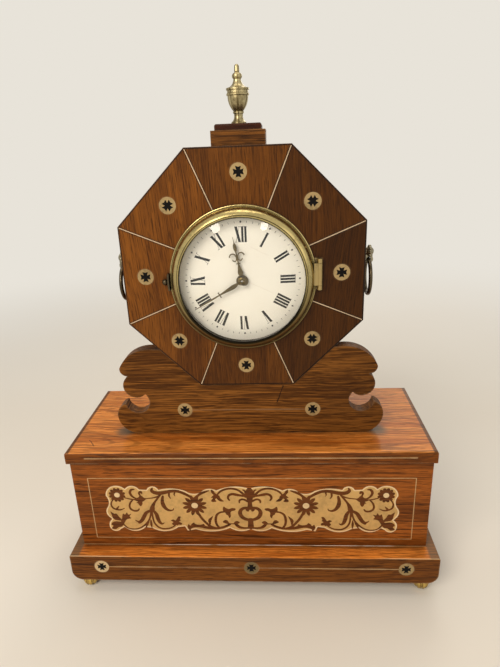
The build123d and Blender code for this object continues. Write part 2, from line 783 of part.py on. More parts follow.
def handle_bosses():
    """A petalled boss on each side with an eye below it for the ring."""
    base = OCTAGON / 2
    thin = 0.17 * BOSS_REACH
    face = profile(
        (0, 0),
        (BOSS_PLATE, 0),
        (BOSS_PLATE, thin),
        ((BOSS_NECK + 0.35 * (BOSS_PLATE - BOSS_NECK), 1.35 * thin), (BOSS_NECK, 2.4 * thin)),
        (BOSS_HEAD, 3.4 * thin),
        (BOSS_HEAD, 4.2 * thin),
        capped(BOSS_HEAD, 4.2 * thin, BOSS_REACH - 4.2 * thin),
    )
    boss = Pos(base, CASE_Y, OCT_Z + BOSS_LEVEL) * Rot(0, 0, -90) * revolve(face, Axis.Y)
    for k in range(BOSS_PETALS):
        at = polar(BOSS_HEAD, 360 / BOSS_PETALS * k)
        boss += Pos(base + 0.68 * BOSS_REACH, CASE_Y + at[0], OCT_Z + BOSS_LEVEL + at[1]) * Sphere(BOSS_PETAL)
    y0 = CASE_Y - EYE_WIDTH / 2
    y1 = CASE_Y + EYE_WIDTH / 2
    lug = EYE_HOLE + EYE_WALL
    boss += rod_y(lug, y0, y1, (EYE_X, EYE_Z))
    boss += board(EYE_X - BOSS_NECK, EYE_X + BOSS_NECK, y0, y1, EYE_Z, OCT_Z + BOSS_LEVEL)
    boss -= rod_y(EYE_HOLE, y0 - EYE_WIDTH, y1 + EYE_WIDTH, (EYE_X, EYE_Z))
    return both(boss)


def handle_ring():
    """The right-hand ring hanging from its eye."""
    return Pos(EYE_X, CASE_Y, EYE_Z - RING_RADIUS) * Rot(0, 90, 0) * Torus(RING_RADIUS, RING_WIRE)


BEZEL_BACK = -BEZEL_GAP
BEZEL_TOP = -BEZEL_HEIGHT
GLASS_FRONT = BEZEL_TOP + LIP_THICK
AXIS_X = BEZEL_RADIUS + KNUCKLE + KNUCKLE_GAP
AXIS_Y = FRONT_Y - KNUCKLE - KNUCKLE_GAP
TONGUE = 0.36 * BEZEL_HINGE


def bezel_body():
    """The stepped brass ring before the hinge lug is let in."""
    r = BEZEL_RADIUS
    h = BEZEL_HEIGHT
    band = r - SIGHT_RADIUS
    face = profile(
        (GLASS_RADIUS, BEZEL_BACK),
        (r, BEZEL_BACK),
        (r, -0.10 * h),
        ((r - 0.03 * band, -0.16 * h), (r - 0.11 * band, -0.18 * h)),
        (r - 0.14 * band, -0.14 * h),
        (r - 0.19 * band, -0.14 * h),
        (r - 0.21 * band, -0.22 * h),
        ((r - 0.42 * band, -0.69 * h), (r - 0.76 * band, -0.92 * h)),
        (r - 0.79 * band, -0.89 * h),
        (r - 0.82 * band, BEZEL_TOP),
        (r - 0.94 * band, BEZEL_TOP),
        (SIGHT_RADIUS, BEZEL_TOP + 0.06 * h),
        (SIGHT_RADIUS, GLASS_FRONT),
        (GLASS_RADIUS, GLASS_FRONT),
    )
    return turned_y(face, (0, DIAL_Z), FRONT_Y)


def bezel_lug():
    """The arm of the moving leaf that reaches into the rim of the bezel."""
    reach = 0.55 * BEZEL_LEAF
    z0 = HINGE_Z - TONGUE + KNUCKLE_GAP
    z1 = HINGE_Z + TONGUE - KNUCKLE_GAP
    return board(AXIS_X - reach, AXIS_X, AXIS_Y - 0.8 * KNUCKLE, AXIS_Y + 0.5 * KNUCKLE, z0, z1)


def bezel_ring():
    return bezel_body() - bezel_lug()


def bezel_hinge_leaf():
    """The moving knuckle with its arm."""
    z0 = HINGE_Z - TONGUE + KNUCKLE_GAP
    z1 = HINGE_Z + TONGUE - KNUCKLE_GAP
    shape = bezel_lug() + rod_z(KNUCKLE, z0, z1, AXIS_X, AXIS_Y)
    return shape - rod_z(PIN + PIN_CLEAR, z0, z1, AXIS_X, AXIS_Y)


def bezel_glass():
    """A domed glass with a flat rim held under the lip."""
    front = GLASS_FRONT
    back = GLASS_FRONT + GLASS_THICK
    rim = SIGHT_RADIUS - 0.2
    edge = GLASS_RADIUS - PRESS

    def dome(base):
        radius = (rim**2 + GLASS_RISE**2) / (2 * GLASS_RISE)
        half = rim / 2
        drop = radius - sqrt(radius**2 - half**2)
        return ((half, base - GLASS_RISE + drop), (0, base - GLASS_RISE))

    outer = dome(front)
    inner = dome(back)
    face = profile((0, inner[1][1]), (inner[0], (rim, back)), (edge, back), (edge, front), (rim, front), outer)
    return turned_y(face, (0, DIAL_Z), FRONT_Y)


def glass_retainer():
    """The thin ring that holds the glass from behind."""
    y0 = GLASS_FRONT + GLASS_THICK
    r1 = GLASS_RADIUS - PRESS
    ring = Circle(r1) - Circle(r1 - RETAINER_WIDTH)
    return plate(ring, FRONT_Y + y0, FRONT_Y + y0 + RETAINER_HEIGHT, (0, DIAL_Z))


def bezel_thumb_piece():
    """A turned button on the left of the bezel, on a curved plate that hugs the rim."""
    y1 = FRONT_Y - BEZEL_GAP - THUMB_CLEAR
    outer = BEZEL_RADIUS + THUMB_BAND
    far = 2 * outer
    wedge = Polyline((0, 0), polar(far, 180 - THUMB_TURN), polar(far, 180 + THUMB_TURN), close=True)
    shape = plate(Circle(outer) & make_face(wedge), y1 - THUMB_DEPTH, y1, (0, DIAL_Z))
    r = THUMB_BALL
    face = profile(
        (0, -0.4 * THUMB_BAND),
        (0.5 * r, -0.4 * THUMB_BAND),
        (0.5 * r, 0.12 * r),
        ((r, 0.9 * r), (0.66 * r, 1.55 * r)),
        capped(0.66 * r, 1.55 * r, 0.25 * r),
    )
    shape += Pos(-outer, y1 - THUMB_DEPTH / 2, DIAL_Z) * Rot(0, 0, 90) * revolve(face, Axis.Y)
    return shape - rod_y(BEZEL_RADIUS + PRESS, FRONT_Y - BEZEL_HEIGHT, FRONT_Y, (0, DIAL_Z))


DOOR_ACROSS = OCTAGON - 2 * (HOOP_THICK - DOOR_REBATE) - 2 * DOOR_GAP
DOOR_AXIS_X = DOOR_ACROSS / 2 + DOOR_GAP / 2
DOOR_AXIS_Y = BACK_Y + KNUCKLE + KNUCKLE_GAP
DOOR_TONGUE = DOOR_HINGE / 6 + KNUCKLE_GAP / 2


def fixed_hinge_leaves():
    """The two leaves screwed to the case: one for the bezel, one for the back door."""
    half = BEZEL_HINGE / 2
    front = bezel_leaf_pocket()
    for z0, z1 in ((HINGE_Z + TONGUE, HINGE_Z + half), (HINGE_Z - half, HINGE_Z - TONGUE)):
        front += rod_z(KNUCKLE, z0, z1, AXIS_X, AXIS_Y)
        front += board(AXIS_X, AXIS_X + KNUCKLE, AXIS_Y, FRONT_Y + LEAF, z0, z1)
    front -= rod_z(PIN + PRESS, HINGE_Z - half, HINGE_Z + half, AXIS_X, AXIS_Y)
    tall = DOOR_HINGE / 2
    edge = OCTAGON / 2 - STRING_WIDTH
    back = board(DOOR_AXIS_X + KNUCKLE + KNUCKLE_GAP, edge, BACK_Y, BACK_Y + LEAF, OCT_Z - tall, OCT_Z + tall)
    for z0, z1 in ((OCT_Z + DOOR_TONGUE, OCT_Z + tall), (OCT_Z - tall, OCT_Z - DOOR_TONGUE)):
        back += rod_z(KNUCKLE, z0, z1, DOOR_AXIS_X, DOOR_AXIS_Y)
        back += board(DOOR_AXIS_X, DOOR_AXIS_X + 2 * KNUCKLE, BACK_Y + KNUCKLE_GAP, BACK_Y + LEAF, z0, z1)
    back -= rod_z(PIN + PRESS, OCT_Z - tall, OCT_Z + tall, DOOR_AXIS_X, DOOR_AXIS_Y)
    return [front, back]


def hinge_pins():
    """The pin of each hinge, fast in its fixed knuckles."""
    half = BEZEL_HINGE / 2
    tall = DOOR_HINGE / 2
    return [
        rod_z(PIN, HINGE_Z - half, HINGE_Z + half, AXIS_X, AXIS_Y),
        rod_z(PIN, OCT_Z - tall, OCT_Z + tall, DOOR_AXIS_X, DOOR_AXIS_Y),
    ]


def door_hinge_leaf():
    """The leaf on the back door with the middle knuckle."""
    z0 = OCT_Z - DOOR_TONGUE + KNUCKLE_GAP
    z1 = OCT_Z + DOOR_TONGUE - KNUCKLE_GAP
    x1 = DOOR_AXIS_X - KNUCKLE - KNUCKLE_GAP
    tall = DOOR_HINGE / 2
    shape = board(x1 - DOOR_LEAF, x1, BACK_Y, BACK_Y + LEAF, OCT_Z - tall, OCT_Z + tall)
    shape += rod_z(KNUCKLE, z0, z1, DOOR_AXIS_X, DOOR_AXIS_Y)
    shape += board(x1, DOOR_AXIS_X, BACK_Y + KNUCKLE_GAP, BACK_Y + LEAF, z0, z1)
    return shape - rod_z(PIN + PIN_CLEAR, z0, z1, DOOR_AXIS_X, DOOR_AXIS_Y)


def back_door():
    """An octagonal frame with a round light, rebated on the inside for its glass."""
    y0 = BACK_Y - DOOR_THICK
    shape = plate(octagon(DOOR_ACROSS), y0, BACK_Y, (0, OCT_Z))
    shape -= rod_y(DOOR_SIGHT, y0, BACK_Y, (0, OCT_Z))
    return shape - rod_y(DOOR_GLASS + PRESS, y0, y0 + DOOR_GLASS_AT + DOOR_GLASS_THICK, (0, OCT_Z))


def door_glass():
    y0 = BACK_Y - DOOR_THICK + DOOR_GLASS_AT
    return rod_y(DOOR_GLASS, y0, y0 + DOOR_GLASS_THICK, (0, OCT_Z))


def door_knob():
    """A small turned knob on the free side of the door."""
    r = KNOB_RADIUS
    h = KNOB_REACH
    face = profile(
        (0, 0),
        (0.8 * r, 0),
        (0.8 * r, 0.12 * h),
        ((0.42 * r, 0.2 * h), (0.38 * r, 0.42 * h)),
        ((0.86 * r, 0.52 * h), (r, 0.70 * h)),
        capped(r, 0.70 * h, 0.30 * h),
    )
    return turned_y(face, (-DOOR_ACROSS / 2 + KNOB_INSET, OCT_Z), BACK_Y)


def dial_disc():
    """The domed enamel dial."""
    r = DIAL_RADIUS
    radius = (r**2 + DIAL_CROWN**2) / (2 * DIAL_CROWN)
    half = r / 2
    drop = radius - sqrt(radius**2 - half**2)
    top = DIAL_EDGE - DIAL_CROWN
    hole = HOUR_PIPE + 5 * PIPE_CLEAR
    face = profile(
        (0, top),
        ((half, top + drop), (r, DIAL_EDGE)),
        (r, DIAL_EDGE + DIAL_THICK),
        ((half, top + drop + DIAL_THICK), (0, top + DIAL_THICK)),
    )
    shape = turned_y(face, (0, DIAL_Z), FRONT_Y)
    return shape - rod_y(hole, FRONT_Y - DIAL_CROWN, FRONT_Y + DIAL_CROWN, (0, DIAL_Z))


def dial_foot_places():
    return [dial(polar(DIAL_FOOT_RING, 90 + 120 * k)) for k in range(3)]


def pillar_places(ring):
    return [dial(polar(ring, angle)) for angle in PILLAR_ANGLES]


def dial_plate():
    """The brass plate behind the front board that carries the dial and the movement."""
    y0 = DIAL_PLATE_Y
    y1 = y0 + PLATE_THICK
    shape = rod_y(DIAL_PLATE_RADIUS, y0, y1, (0, DIAL_Z))
    shape -= rod_y(HOUR_PIPE + 8 * PIPE_CLEAR, y0, y1, (0, DIAL_Z))
    for at in dial_foot_places():
        shape -= rod_y(DIAL_FOOT + PRESS, y0, y1, at)
    return shape


def dial_pillars():
    """Three dial feet through the dial plate, and four pillars behind it to the movement."""
    r = DIAL_RADIUS
    radius = (r**2 + DIAL_CROWN**2) / (2 * DIAL_CROWN)
    back = DIAL_EDGE - DIAL_CROWN + DIAL_THICK + radius - sqrt(radius**2 - (DIAL_FOOT_RING + DIAL_FOOT) ** 2)
    feet_pins = [rod_y(DIAL_FOOT, FRONT_Y + back + PRESS, DIAL_PLATE_Y + PLATE_THICK, at) for at in dial_foot_places()]
    y0 = DIAL_PLATE_Y + PLATE_THICK
    return feet_pins + [rod_y(PILLAR, y0, PLATE_A, at) for at in pillar_places(DIAL_PILLAR_RING)]


def tooth_points(count, module, share, tip, root, shoulder, blunt, turn):
    """Plain clock teeth: radial flanks below the pitch line and a rounded point above it."""
    pitch = count * module / 2
    half = degrees(share * pi / count)
    steps = ((pitch - root * module, 1), (pitch, 1), (pitch + shoulder[0] * tip * module, shoulder[1]), (pitch + tip * module, blunt))
    points = []
    for k in range(count):
        middle = turn + 360 / count * k
        points += [polar(reach, middle - half * part) for reach, part in steps]
        points += [polar(reach, middle + half * part) for reach, part in reversed(steps)]
    return points


def wheel_face(count, module, turn):
    points = tooth_points(count, module, WHEEL_SHARE, WHEEL_TIP, WHEEL_ROOT, (0.55, 0.74), 0.28, turn)
    return make_face(Polyline(*points, close=True))


def pinion_face(count, module, turn):
    points = tooth_points(count, module, LEAF_SHARE, LEAF_TIP, LEAF_ROOT, (0.45, 0.86), 0.42, turn)
    return make_face(Polyline(*points, close=True))


def crossed(face, rim, hub, bore):
    """A wheel blank with four spokes and a bore."""
    windows = Circle(rim) - Circle(hub)
    for k in range(2):
        windows -= Rot(0, 0, 45 + 90 * k) * Rectangle(3 * rim, 0.75 * hub)
    return face - windows - Circle(bore)


def heading(here, there):
    return degrees(atan2(there[1] - here[1], there[0] - here[0]))


def geared(wheel_at, pinion_at, leaves):
    """The turns that put a wheel tooth into a gap of its pinion at rest."""
    line = heading(wheel_at, pinion_at)
    return line, line + 180 + 180 / leaves


GREAT_TURN, CENTRE_PINION_TURN = geared(BARREL_AT, CENTRE_AT, CENTRE_LEAVES)
CENTRE_TURN, THIRD_PINION_TURN = geared(CENTRE_AT, THIRD_AT, THIRD_LEAVES)
THIRD_TURN, ESCAPE_PINION_TURN = geared(THIRD_AT, ESCAPE_AT, ESCAPE_LEAVES)
MINUTE_TURN, CANNON_TURN = geared(MINUTE_AT, CENTRE_AT, CANNON_LEAVES)
HOUR_TURN, MINUTE_PINION_TURN = geared(CENTRE_AT, MINUTE_AT, MINUTE_LEAVES)

CENTRE_WHEEL_Y = PLATE_A_BACK + CENTRE_WHEEL_AT
GREAT_WHEEL_Y = PLATE_A_BACK + GREAT_WHEEL_AT
THIRD_WHEEL_Y = PLATE_A_BACK + THIRD_WHEEL_AT
ESCAPE_WHEEL_Y = PLATE_A_BACK + ESCAPE_WHEEL_AT
GREAT_THICK = 1.3 * WHEEL_THICK


def pivoted(at, radius):
    """An arbor between the plates with a pivot at each end."""
    shoulder = 4 * RUN
    shape = rod_y(radius, PLATE_A_BACK + shoulder, PLATE_B - shoulder, dial(at))
    return shape + rod_y(PIVOT, PLATE_A, PLATE_B_BACK, dial(at))


def centre_arbor():
    """The centre arbor with its pinion, run out through the front plate to the hands."""
    tip = FRONT_Y - MINUTE_HAND_AT - HAND_THICK - COLLET_HEIGHT
    shape = rod_y(CENTRE_ARBOR, tip, PLATE_B - 4 * RUN, dial(CENTRE_AT))
    shape += rod_y(PIVOT, PLATE_B - 4 * RUN, PLATE_B_BACK, dial(CENTRE_AT))
    y0 = GREAT_WHEEL_Y - WHEEL_THICK / 2
    face = pinion_face(CENTRE_LEAVES, MODULE_GREAT, CENTRE_PINION_TURN)
    return shape + plate(face, y0, y0 + GREAT_THICK + WHEEL_THICK, dial(CENTRE_AT))


def centre_wheel():
    rim = CENTRE_TEETH * MODULE_CENTRE / 2 - 5 * MODULE_CENTRE
    face = crossed(wheel_face(CENTRE_TEETH, MODULE_CENTRE, CENTRE_TURN), rim, 3 * CENTRE_ARBOR, CENTRE_ARBOR + PRESS)
    return plate(face, CENTRE_WHEEL_Y, CENTRE_WHEEL_Y + WHEEL_THICK, dial(CENTRE_AT))


def third_arbor():
    y0 = CENTRE_WHEEL_Y - WHEEL_THICK / 2
    face = pinion_face(THIRD_LEAVES, MODULE_CENTRE, THIRD_PINION_TURN)
    return pivoted(THIRD_AT, ARBOR) + plate(face, y0, y0 + 2 * WHEEL_THICK, dial(THIRD_AT))


def third_wheel():
    rim = THIRD_TEETH * MODULE_THIRD / 2 - 5 * MODULE_THIRD
    face = crossed(wheel_face(THIRD_TEETH, MODULE_THIRD, THIRD_TURN), rim, 3 * ARBOR, ARBOR + PRESS)
    return plate(face, THIRD_WHEEL_Y, THIRD_WHEEL_Y + WHEEL_THICK, dial(THIRD_AT))


def escape_arbor():
    y0 = THIRD_WHEEL_Y - WHEEL_THICK / 2
    face = pinion_face(ESCAPE_LEAVES, MODULE_THIRD, ESCAPE_PINION_TURN)
    return pivoted(ESCAPE_AT, ARBOR) + plate(face, y0, y0 + 2 * WHEEL_THICK, dial(ESCAPE_AT))


def escape_wheel():
    """Pointed teeth leaning one way, on a crossed wheel."""
    pitch = 360 / ESCAPE_TEETH
    root = 0.85 * ESCAPE_RADIUS
    points = []
    for k in range(ESCAPE_TEETH):
        points += [
            polar(ESCAPE_RADIUS, pitch * k),
            polar(ESCAPE_RADIUS, pitch * (k + 0.10)),
            polar(root, pitch * (k + 0.45)),
            polar(root, pitch * (k + 0.80)),
        ]
    face = crossed(make_face(Polyline(*points, close=True)), 0.72 * ESCAPE_RADIUS, 3 * ARBOR, ARBOR + PRESS)
    return plate(face, ESCAPE_WHEEL_Y, ESCAPE_WHEEL_Y + WHEEL_THICK, dial(ESCAPE_AT))


def barrel():
    """The mainspring barrel with the great wheel on its front end."""
    y0 = GREAT_WHEEL_Y
    y1 = y0 + GREAT_THICK
    y2 = y1 + BARREL_LENGTH
    bore = BARREL_ARBOR + RUN
    at = dial(BARREL_AT)
    shape = plate(wheel_face(GREAT_TEETH, MODULE_GREAT, GREAT_TURN), y0, y1, at)
    shape += rod_y(BARREL_RADIUS, y1, y2, at)
    shape -= rod_y(BARREL_RADIUS - BARREL_WALL, y1, y2 - BARREL_WALL, at)
    return shape - rod_y(bore, y0, y2, at)


def mainspring():
    """A flat coil of half circles about two middles, lying inside the barrel."""
    step = SPRING_PITCH / 4
    outer = []
    inner = []
    for k in range(SPRING_HALF_TURNS):
        sign = 1 if k % 2 == 0 else -1
        reach = SPRING_START + 2 * step * k
        for edges, r in ((outer, reach + SPRING_STRIP), (inner, reach)):
            a = (sign * (r - step), 0)
            b = (-sign * step, sign * r)
            c = (-sign * (r + step), 0)
            edges.append(ThreePointArc(a, b, c))
    ends = [Line(inner[0] @ 0, outer[0] @ 0), Line(inner[-1] @ 1, outer[-1] @ 1)]
    y0 = GREAT_WHEEL_Y + GREAT_THICK
    y1 = y0 + BARREL_LENGTH - BARREL_WALL
    return plate(make_face(outer + inner + ends), y0 + PRESS, y1 - BARREL_WALL, dial(BARREL_AT))


def barrel_arbor():
    """The arbor through the barrel, squared behind the back plate for the ratchet and the key."""
    at = dial(BARREL_AT)
    shoulder = 4 * RUN
    shape = rod_y(BARREL_ARBOR, PLATE_A_BACK + shoulder, PLATE_B - shoulder, at)
    shape += rod_y(BARREL_PIVOT, PLATE_A, PLATE_A_BACK + shoulder, at)
    shape += rod_y(BARREL_PIVOT, PLATE_B - shoulder, PLATE_B_BACK + shoulder, at)
    square = Rectangle(WINDING_SQUARE / sqrt(2), WINDING_SQUARE / sqrt(2))
    return shape + plate(square, PLATE_B_BACK + shoulder, PLATE_B_BACK + shoulder + WINDING_LENGTH, at)


def ratchet_wheel():
    pitch = 360 / RATCHET_TEETH
    points = []
    for k in range(RATCHET_TEETH):
        points += [polar(RATCHET_RADIUS, pitch * k), polar(RATCHET_RADIUS - RATCHET_DEPTH, pitch * (k + 0.12))]
    side = WINDING_SQUARE / sqrt(2) + 2 * PRESS
    face = make_face(Polyline(*points, close=True)) - Rectangle(side, side)
    y0 = PLATE_B_BACK + 4 * RUN
    return plate(face, y0, y0 + RATCHET_THICK, dial(BARREL_AT))


def click():
    """The click, its nose just above the ratchet teeth, on a stud of the back plate."""
    nose_turn = 72
    nose = polar(RATCHET_RADIUS + CLICK_NOSE, nose_turn)
    tip = (nose[0] - CLICK_X, nose[1] - CLICK_Z)
    hub = 2.2 * CLICK_PIVOT
    face = profile(
        tip,
        (0.25 * tip[0], -0.85 * hub),
        (0, -hub),
        ((hub, 0), (0, hub)),
        (0.8 * tip[0], tip[1] + 1.1 * hub),
        (tip[0] - 0.1 * hub, tip[1] + 0.5 * hub),
    )
    y0 = PLATE_B_BACK + 4 * RUN
    return plate(face - Circle(CLICK_PIVOT + RUN), y0, y0 + RATCHET_THICK, dial(CLICK_AT))


def pivot_holes():
    """Every hole in the plates as (place, radius at the front, radius at the back)."""
    return (
        (CENTRE_AT, CENTRE_ARBOR + RUN, PIVOT + RUN),
        (THIRD_AT, PIVOT + RUN, PIVOT + RUN),
        (ESCAPE_AT, PIVOT + RUN, PIVOT + RUN),
        (BARREL_AT, BARREL_PIVOT + RUN, BARREL_PIVOT + RUN),
        (ANCHOR_AT, PIVOT + RUN, 3 * ARBOR),
    )


def front_plate():
    """The front plate with the stud for the minute wheel."""
    shape = rod_y(PLATE_RADIUS, PLATE_A, PLATE_A_BACK, dial(CENTRE_AT))
    for at, front, back in pivot_holes():
        shape -= rod_y(front, PLATE_A, PLATE_A_BACK, dial(at))
    return shape + rod_y(STUD, DIAL_PLATE_Y + PLATE_THICK + 4 * PIPE_CLEAR, PLATE_A, dial(MINUTE_AT))


def back_plate():
    """The back plate with the stud for the click."""
    shape = rod_y(PLATE_RADIUS, PLATE_B, PLATE_B_BACK, dial(CENTRE_AT))
    for at, front, back in pivot_holes():
        shape -= rod_y(back, PLATE_B, PLATE_B_BACK, dial(at))
    return shape + rod_y(CLICK_PIVOT, PLATE_B_BACK, PLATE_B_BACK + 1.5 * RATCHET_THICK, dial(CLICK_AT))


def plate_pillars():
    """Four turned pillars between the plates."""
    middle = PLATE_SPACE / 2
    face = profile(
        (0, 0),
        (PILLAR, 0),
        (PILLAR, 0.1 * PLATE_SPACE),
        ((0.62 * PILLAR, middle), (PILLAR, 0.9 * PLATE_SPACE)),
        (PILLAR, PLATE_SPACE),
        (0, PLATE_SPACE),
    )
    return [turned_y(face, at, PLATE_A_BACK) for at in pillar_places(PILLAR_RING)]


def cannon_pinion():
    """The pinion and pipe on the centre arbor that carry the minute hand."""
    y1 = PLATE_A - 4 * RUN
    y0 = FRONT_Y - MINUTE_HAND_AT - HAND_THICK
    face = pinion_face(CANNON_LEAVES, MODULE_CANNON, CANNON_TURN)
    shape = rod_y(CANNON_PIPE, y0, y1, dial(CENTRE_AT))
    shape += plate(face, y1 - 2 * WHEEL_THICK, y1, dial(CENTRE_AT))
    return shape - rod_y(CENTRE_ARBOR + RUN, y0, y1, dial(CENTRE_AT))


MOTION_Y = DIAL_PLATE_Y + PLATE_THICK
MINUTE_WHEEL_Y = PLATE_A - 2 * WHEEL_THICK
HOUR_WHEEL_Y = MOTION_Y + WHEEL_THICK


def minute_wheel():
    """The minute wheel riveted to its pinion, on the stud of the front plate."""
    at = dial(MINUTE_AT)
    rim = MINUTE_TEETH * MODULE_CANNON / 2 - 5 * MODULE_CANNON
    hub = 1.2 * MINUTE_LEAVES * MODULE_HOUR / 2
    face = crossed(wheel_face(MINUTE_TEETH, MODULE_CANNON, MINUTE_TURN), rim, hub, STUD + RUN)
    shape = plate(face, MINUTE_WHEEL_Y, MINUTE_WHEEL_Y + WHEEL_THICK, at)
    pinion = pinion_face(MINUTE_LEAVES, MODULE_HOUR, MINUTE_PINION_TURN) - Circle(STUD + RUN)
    return shape + plate(pinion, MOTION_Y + WHEEL_THICK / 2, MINUTE_WHEEL_Y, at)


def hour_wheel():
    """The hour wheel with the pipe that carries the hour hand."""
    y0 = FRONT_Y - HOUR_HAND_AT - HAND_THICK
    y1 = HOUR_WHEEL_Y + WHEEL_THICK
    rim = HOUR_TEETH * MODULE_HOUR / 2 - 5 * MODULE_HOUR
    face = crossed(wheel_face(HOUR_TEETH, MODULE_HOUR, HOUR_TURN), rim, 1.6 * HOUR_PIPE, CANNON_PIPE + PIPE_CLEAR)
    shape = plate(face, HOUR_WHEEL_Y, y1, dial(CENTRE_AT))
    pipe = Circle(HOUR_PIPE) - Circle(CANNON_PIPE + PIPE_CLEAR)
    return shape + plate(pipe, y0, y1, dial(CENTRE_AT))


def hand_at(face, angle, depth, bore):
    """A hand drawn pointing up, bored, thickened and turned clockwise to its time."""
    shape = plate(face - Circle(bore), FRONT_Y - depth - HAND_THICK, FRONT_Y - depth)
    return Pos(0, 0, DIAL_Z) * Rot(0, angle, 0) * shape


def hand_root(start, reach, swell):
    """The teardrop from the hub of a hand out to its first ornament, widest near the hub."""
    w = HAND_WIDTH
    run = reach - start
    near = start + 0.12 * run
    wide = start + 0.3 * run
    return profile(
        (-0.6 * w, start),
        ((-0.8 * swell, near), (-swell, wide)),
        (-0.3 * w, reach),
        (0.3 * w, reach),
        (swell, wide),
        ((0.8 * swell, near), (0.6 * w, start)),
    )


def curls(reach, out, radius, thick, way):
    """A pair of half rings beside the stem of a hand, arched toward its tip or toward its hub."""
    ring = Circle(radius) - Circle(radius - thick)
    half = ring & (Pos(0, way * radius / 2) * Rectangle(2 * radius, radius))
    return Pos(out, reach) * half + Pos(-out, reach) * half


def hour_hand():
    """A lily hand: teardrop root, collar, two pairs of curls and a leaf point."""
    w = HAND_WIDTH
    fleur = HOUR_FLEUR
    face = Circle(HAND_HUB)
    face += hand_root(0.85 * HAND_HUB, fleur - 4 * w, 1.45 * w)
    face += Pos(0, fleur - 4 * w) * Rectangle(2.1 * w, 0.6 * w)
    face += curls(fleur, 2.3 * w, 2.0 * w, 0.6 * w, 1)
    face += curls(fleur - 1.4 * w, 1.6 * w, 1.3 * w, 0.5 * w, -1)
    face += Pos(0, fleur - 0.7 * w) * Rectangle(1.4 * w, 2.8 * w)
    stem = fleur - 4.5 * w
    face += profile(
        (-0.35 * w, stem),
        (-0.35 * w, fleur + 2.6 * w),
        ((-0.95 * w, fleur + 4.6 * w), (-0.2 * w, fleur + 7.4 * w)),
        (-0.08 * w, HOUR_LENGTH),
        (0.08 * w, HOUR_LENGTH),
        (0.2 * w, fleur + 7.4 * w),
        ((0.95 * w, fleur + 4.6 * w), (0.35 * w, fleur + 2.6 * w)),
        (0.35 * w, stem),
    )
    return hand_at(face, HOUR_ANGLE, HOUR_HAND_AT, HOUR_PIPE + PRESS)


def minute_hand():
    """The longer hand: teardrop root, a cross piece and a tapering point."""
    w = HAND_WIDTH
    face = Circle(0.9 * HAND_HUB)
    face += hand_root(0.75 * HAND_HUB, MINUTE_CROSS, 1.2 * w)
    face += Pos(0, MINUTE_CROSS) * Rectangle(3.4 * w, 0.55 * w)
    face += profile(
        (-0.3 * w, MINUTE_CROSS - 2 * w),
        (-0.45 * w, MINUTE_CROSS + 4 * w),
        (-0.15 * w, MINUTE_LENGTH),
        (0.15 * w, MINUTE_LENGTH),
        (0.45 * w, MINUTE_CROSS + 4 * w),
        (0.3 * w, MINUTE_CROSS - 2 * w),
    )
    return hand_at(face, MINUTE_HAND_ANGLE, MINUTE_HAND_AT, CANNON_PIPE + PRESS)


def hand_collet():
    """The domed collet that holds the minute hand on."""
    y1 = FRONT_Y - MINUTE_HAND_AT - HAND_THICK
    face = profile(
        (CENTRE_ARBOR + RUN, 0),
        (COLLET_RADIUS, 0),
        ((0.8 * COLLET_RADIUS, -0.75 * COLLET_HEIGHT), (0.45 * COLLET_RADIUS, -COLLET_HEIGHT)),
        (CENTRE_ARBOR + RUN, -COLLET_HEIGHT),
    )
    return turned_y(face, dial(CENTRE_AT), y1)


CRUTCH_Y = PLATE_B_BACK + COCK_STANDOFF / 3
COCK_Y = PLATE_B_BACK + COCK_STANDOFF
ROD_Y = PLATE_B_BACK + PENDULUM_AT


def anchor():
    """The anchor on its arbor, and the crutch behind the back plate."""
    h = ANCHOR_HUB
    right = (
        (0, 1.1 * h),
        (h, h),
        (4.1 * h, -0.9 * h),
        (4.65 * h, -2.1 * h),
        (3.73 * h, -2.55 * h),
        (3.3 * h, -1.8 * h),
        (0.8 * h, -0.9 * h),
        (0, -1.1 * h),
    )
    half = make_face(Polyline(*right, close=True))
    at = dial(ANCHOR_AT)
    shape = plate(half + mirror(half, about=Plane.YZ), ESCAPE_WHEEL_Y - RUN, ESCAPE_WHEEL_Y + WHEEL_THICK + RUN, at)
    shape += rod_y(ARBOR, PLATE_A_BACK + 4 * RUN, COCK_Y - 4 * RUN, at)
    shape += rod_y(PIVOT, PLATE_A, COCK_Y + COCK_THICK, at)
    y1 = CRUTCH_Y + COCK_THICK / 2
    shape += rod_y(h, CRUTCH_Y, y1, at)
    shape += board(-ROD, ROD, CRUTCH_Y, y1, at[1] - CRUTCH_LENGTH, at[1])
    foot = board(-3 * ROD, 3 * ROD, CRUTCH_Y, ROD_Y + 3 * ROD, at[1] - CRUTCH_LENGTH - ROD, at[1] - CRUTCH_LENGTH)
    slot = board(-ROD - PRESS, ROD + PRESS, ROD_Y - 2 * ROD, ROD_Y + 2 * ROD, at[1] - 2 * CRUTCH_LENGTH, at[1])
    return shape + (foot - slot)


def pendulum_rod():
    """The rod with its suspension strip, threaded below the bob for the rating nut."""
    z = dial(ANCHOR_AT)[1]
    low = z - PENDULUM_LENGTH - BOB_RADIUS - 2 * NUT_HEIGHT
    top = z - COCK_HEIGHT / 2 - ROD
    shape = rod_z(ROD, low, top, 0, ROD_Y)
    strip = board(-ROD / 5, ROD / 5, ROD_Y - 2 * ROD, ROD_Y + 2 * ROD, top - 2 * ROD, z + COCK_HEIGHT / 2 + CHOPS_HEIGHT)
    nut = rod_z(NUT_RADIUS, low + NUT_HEIGHT / 2, low + 1.5 * NUT_HEIGHT, 0, ROD_Y)
    return shape + strip + nut


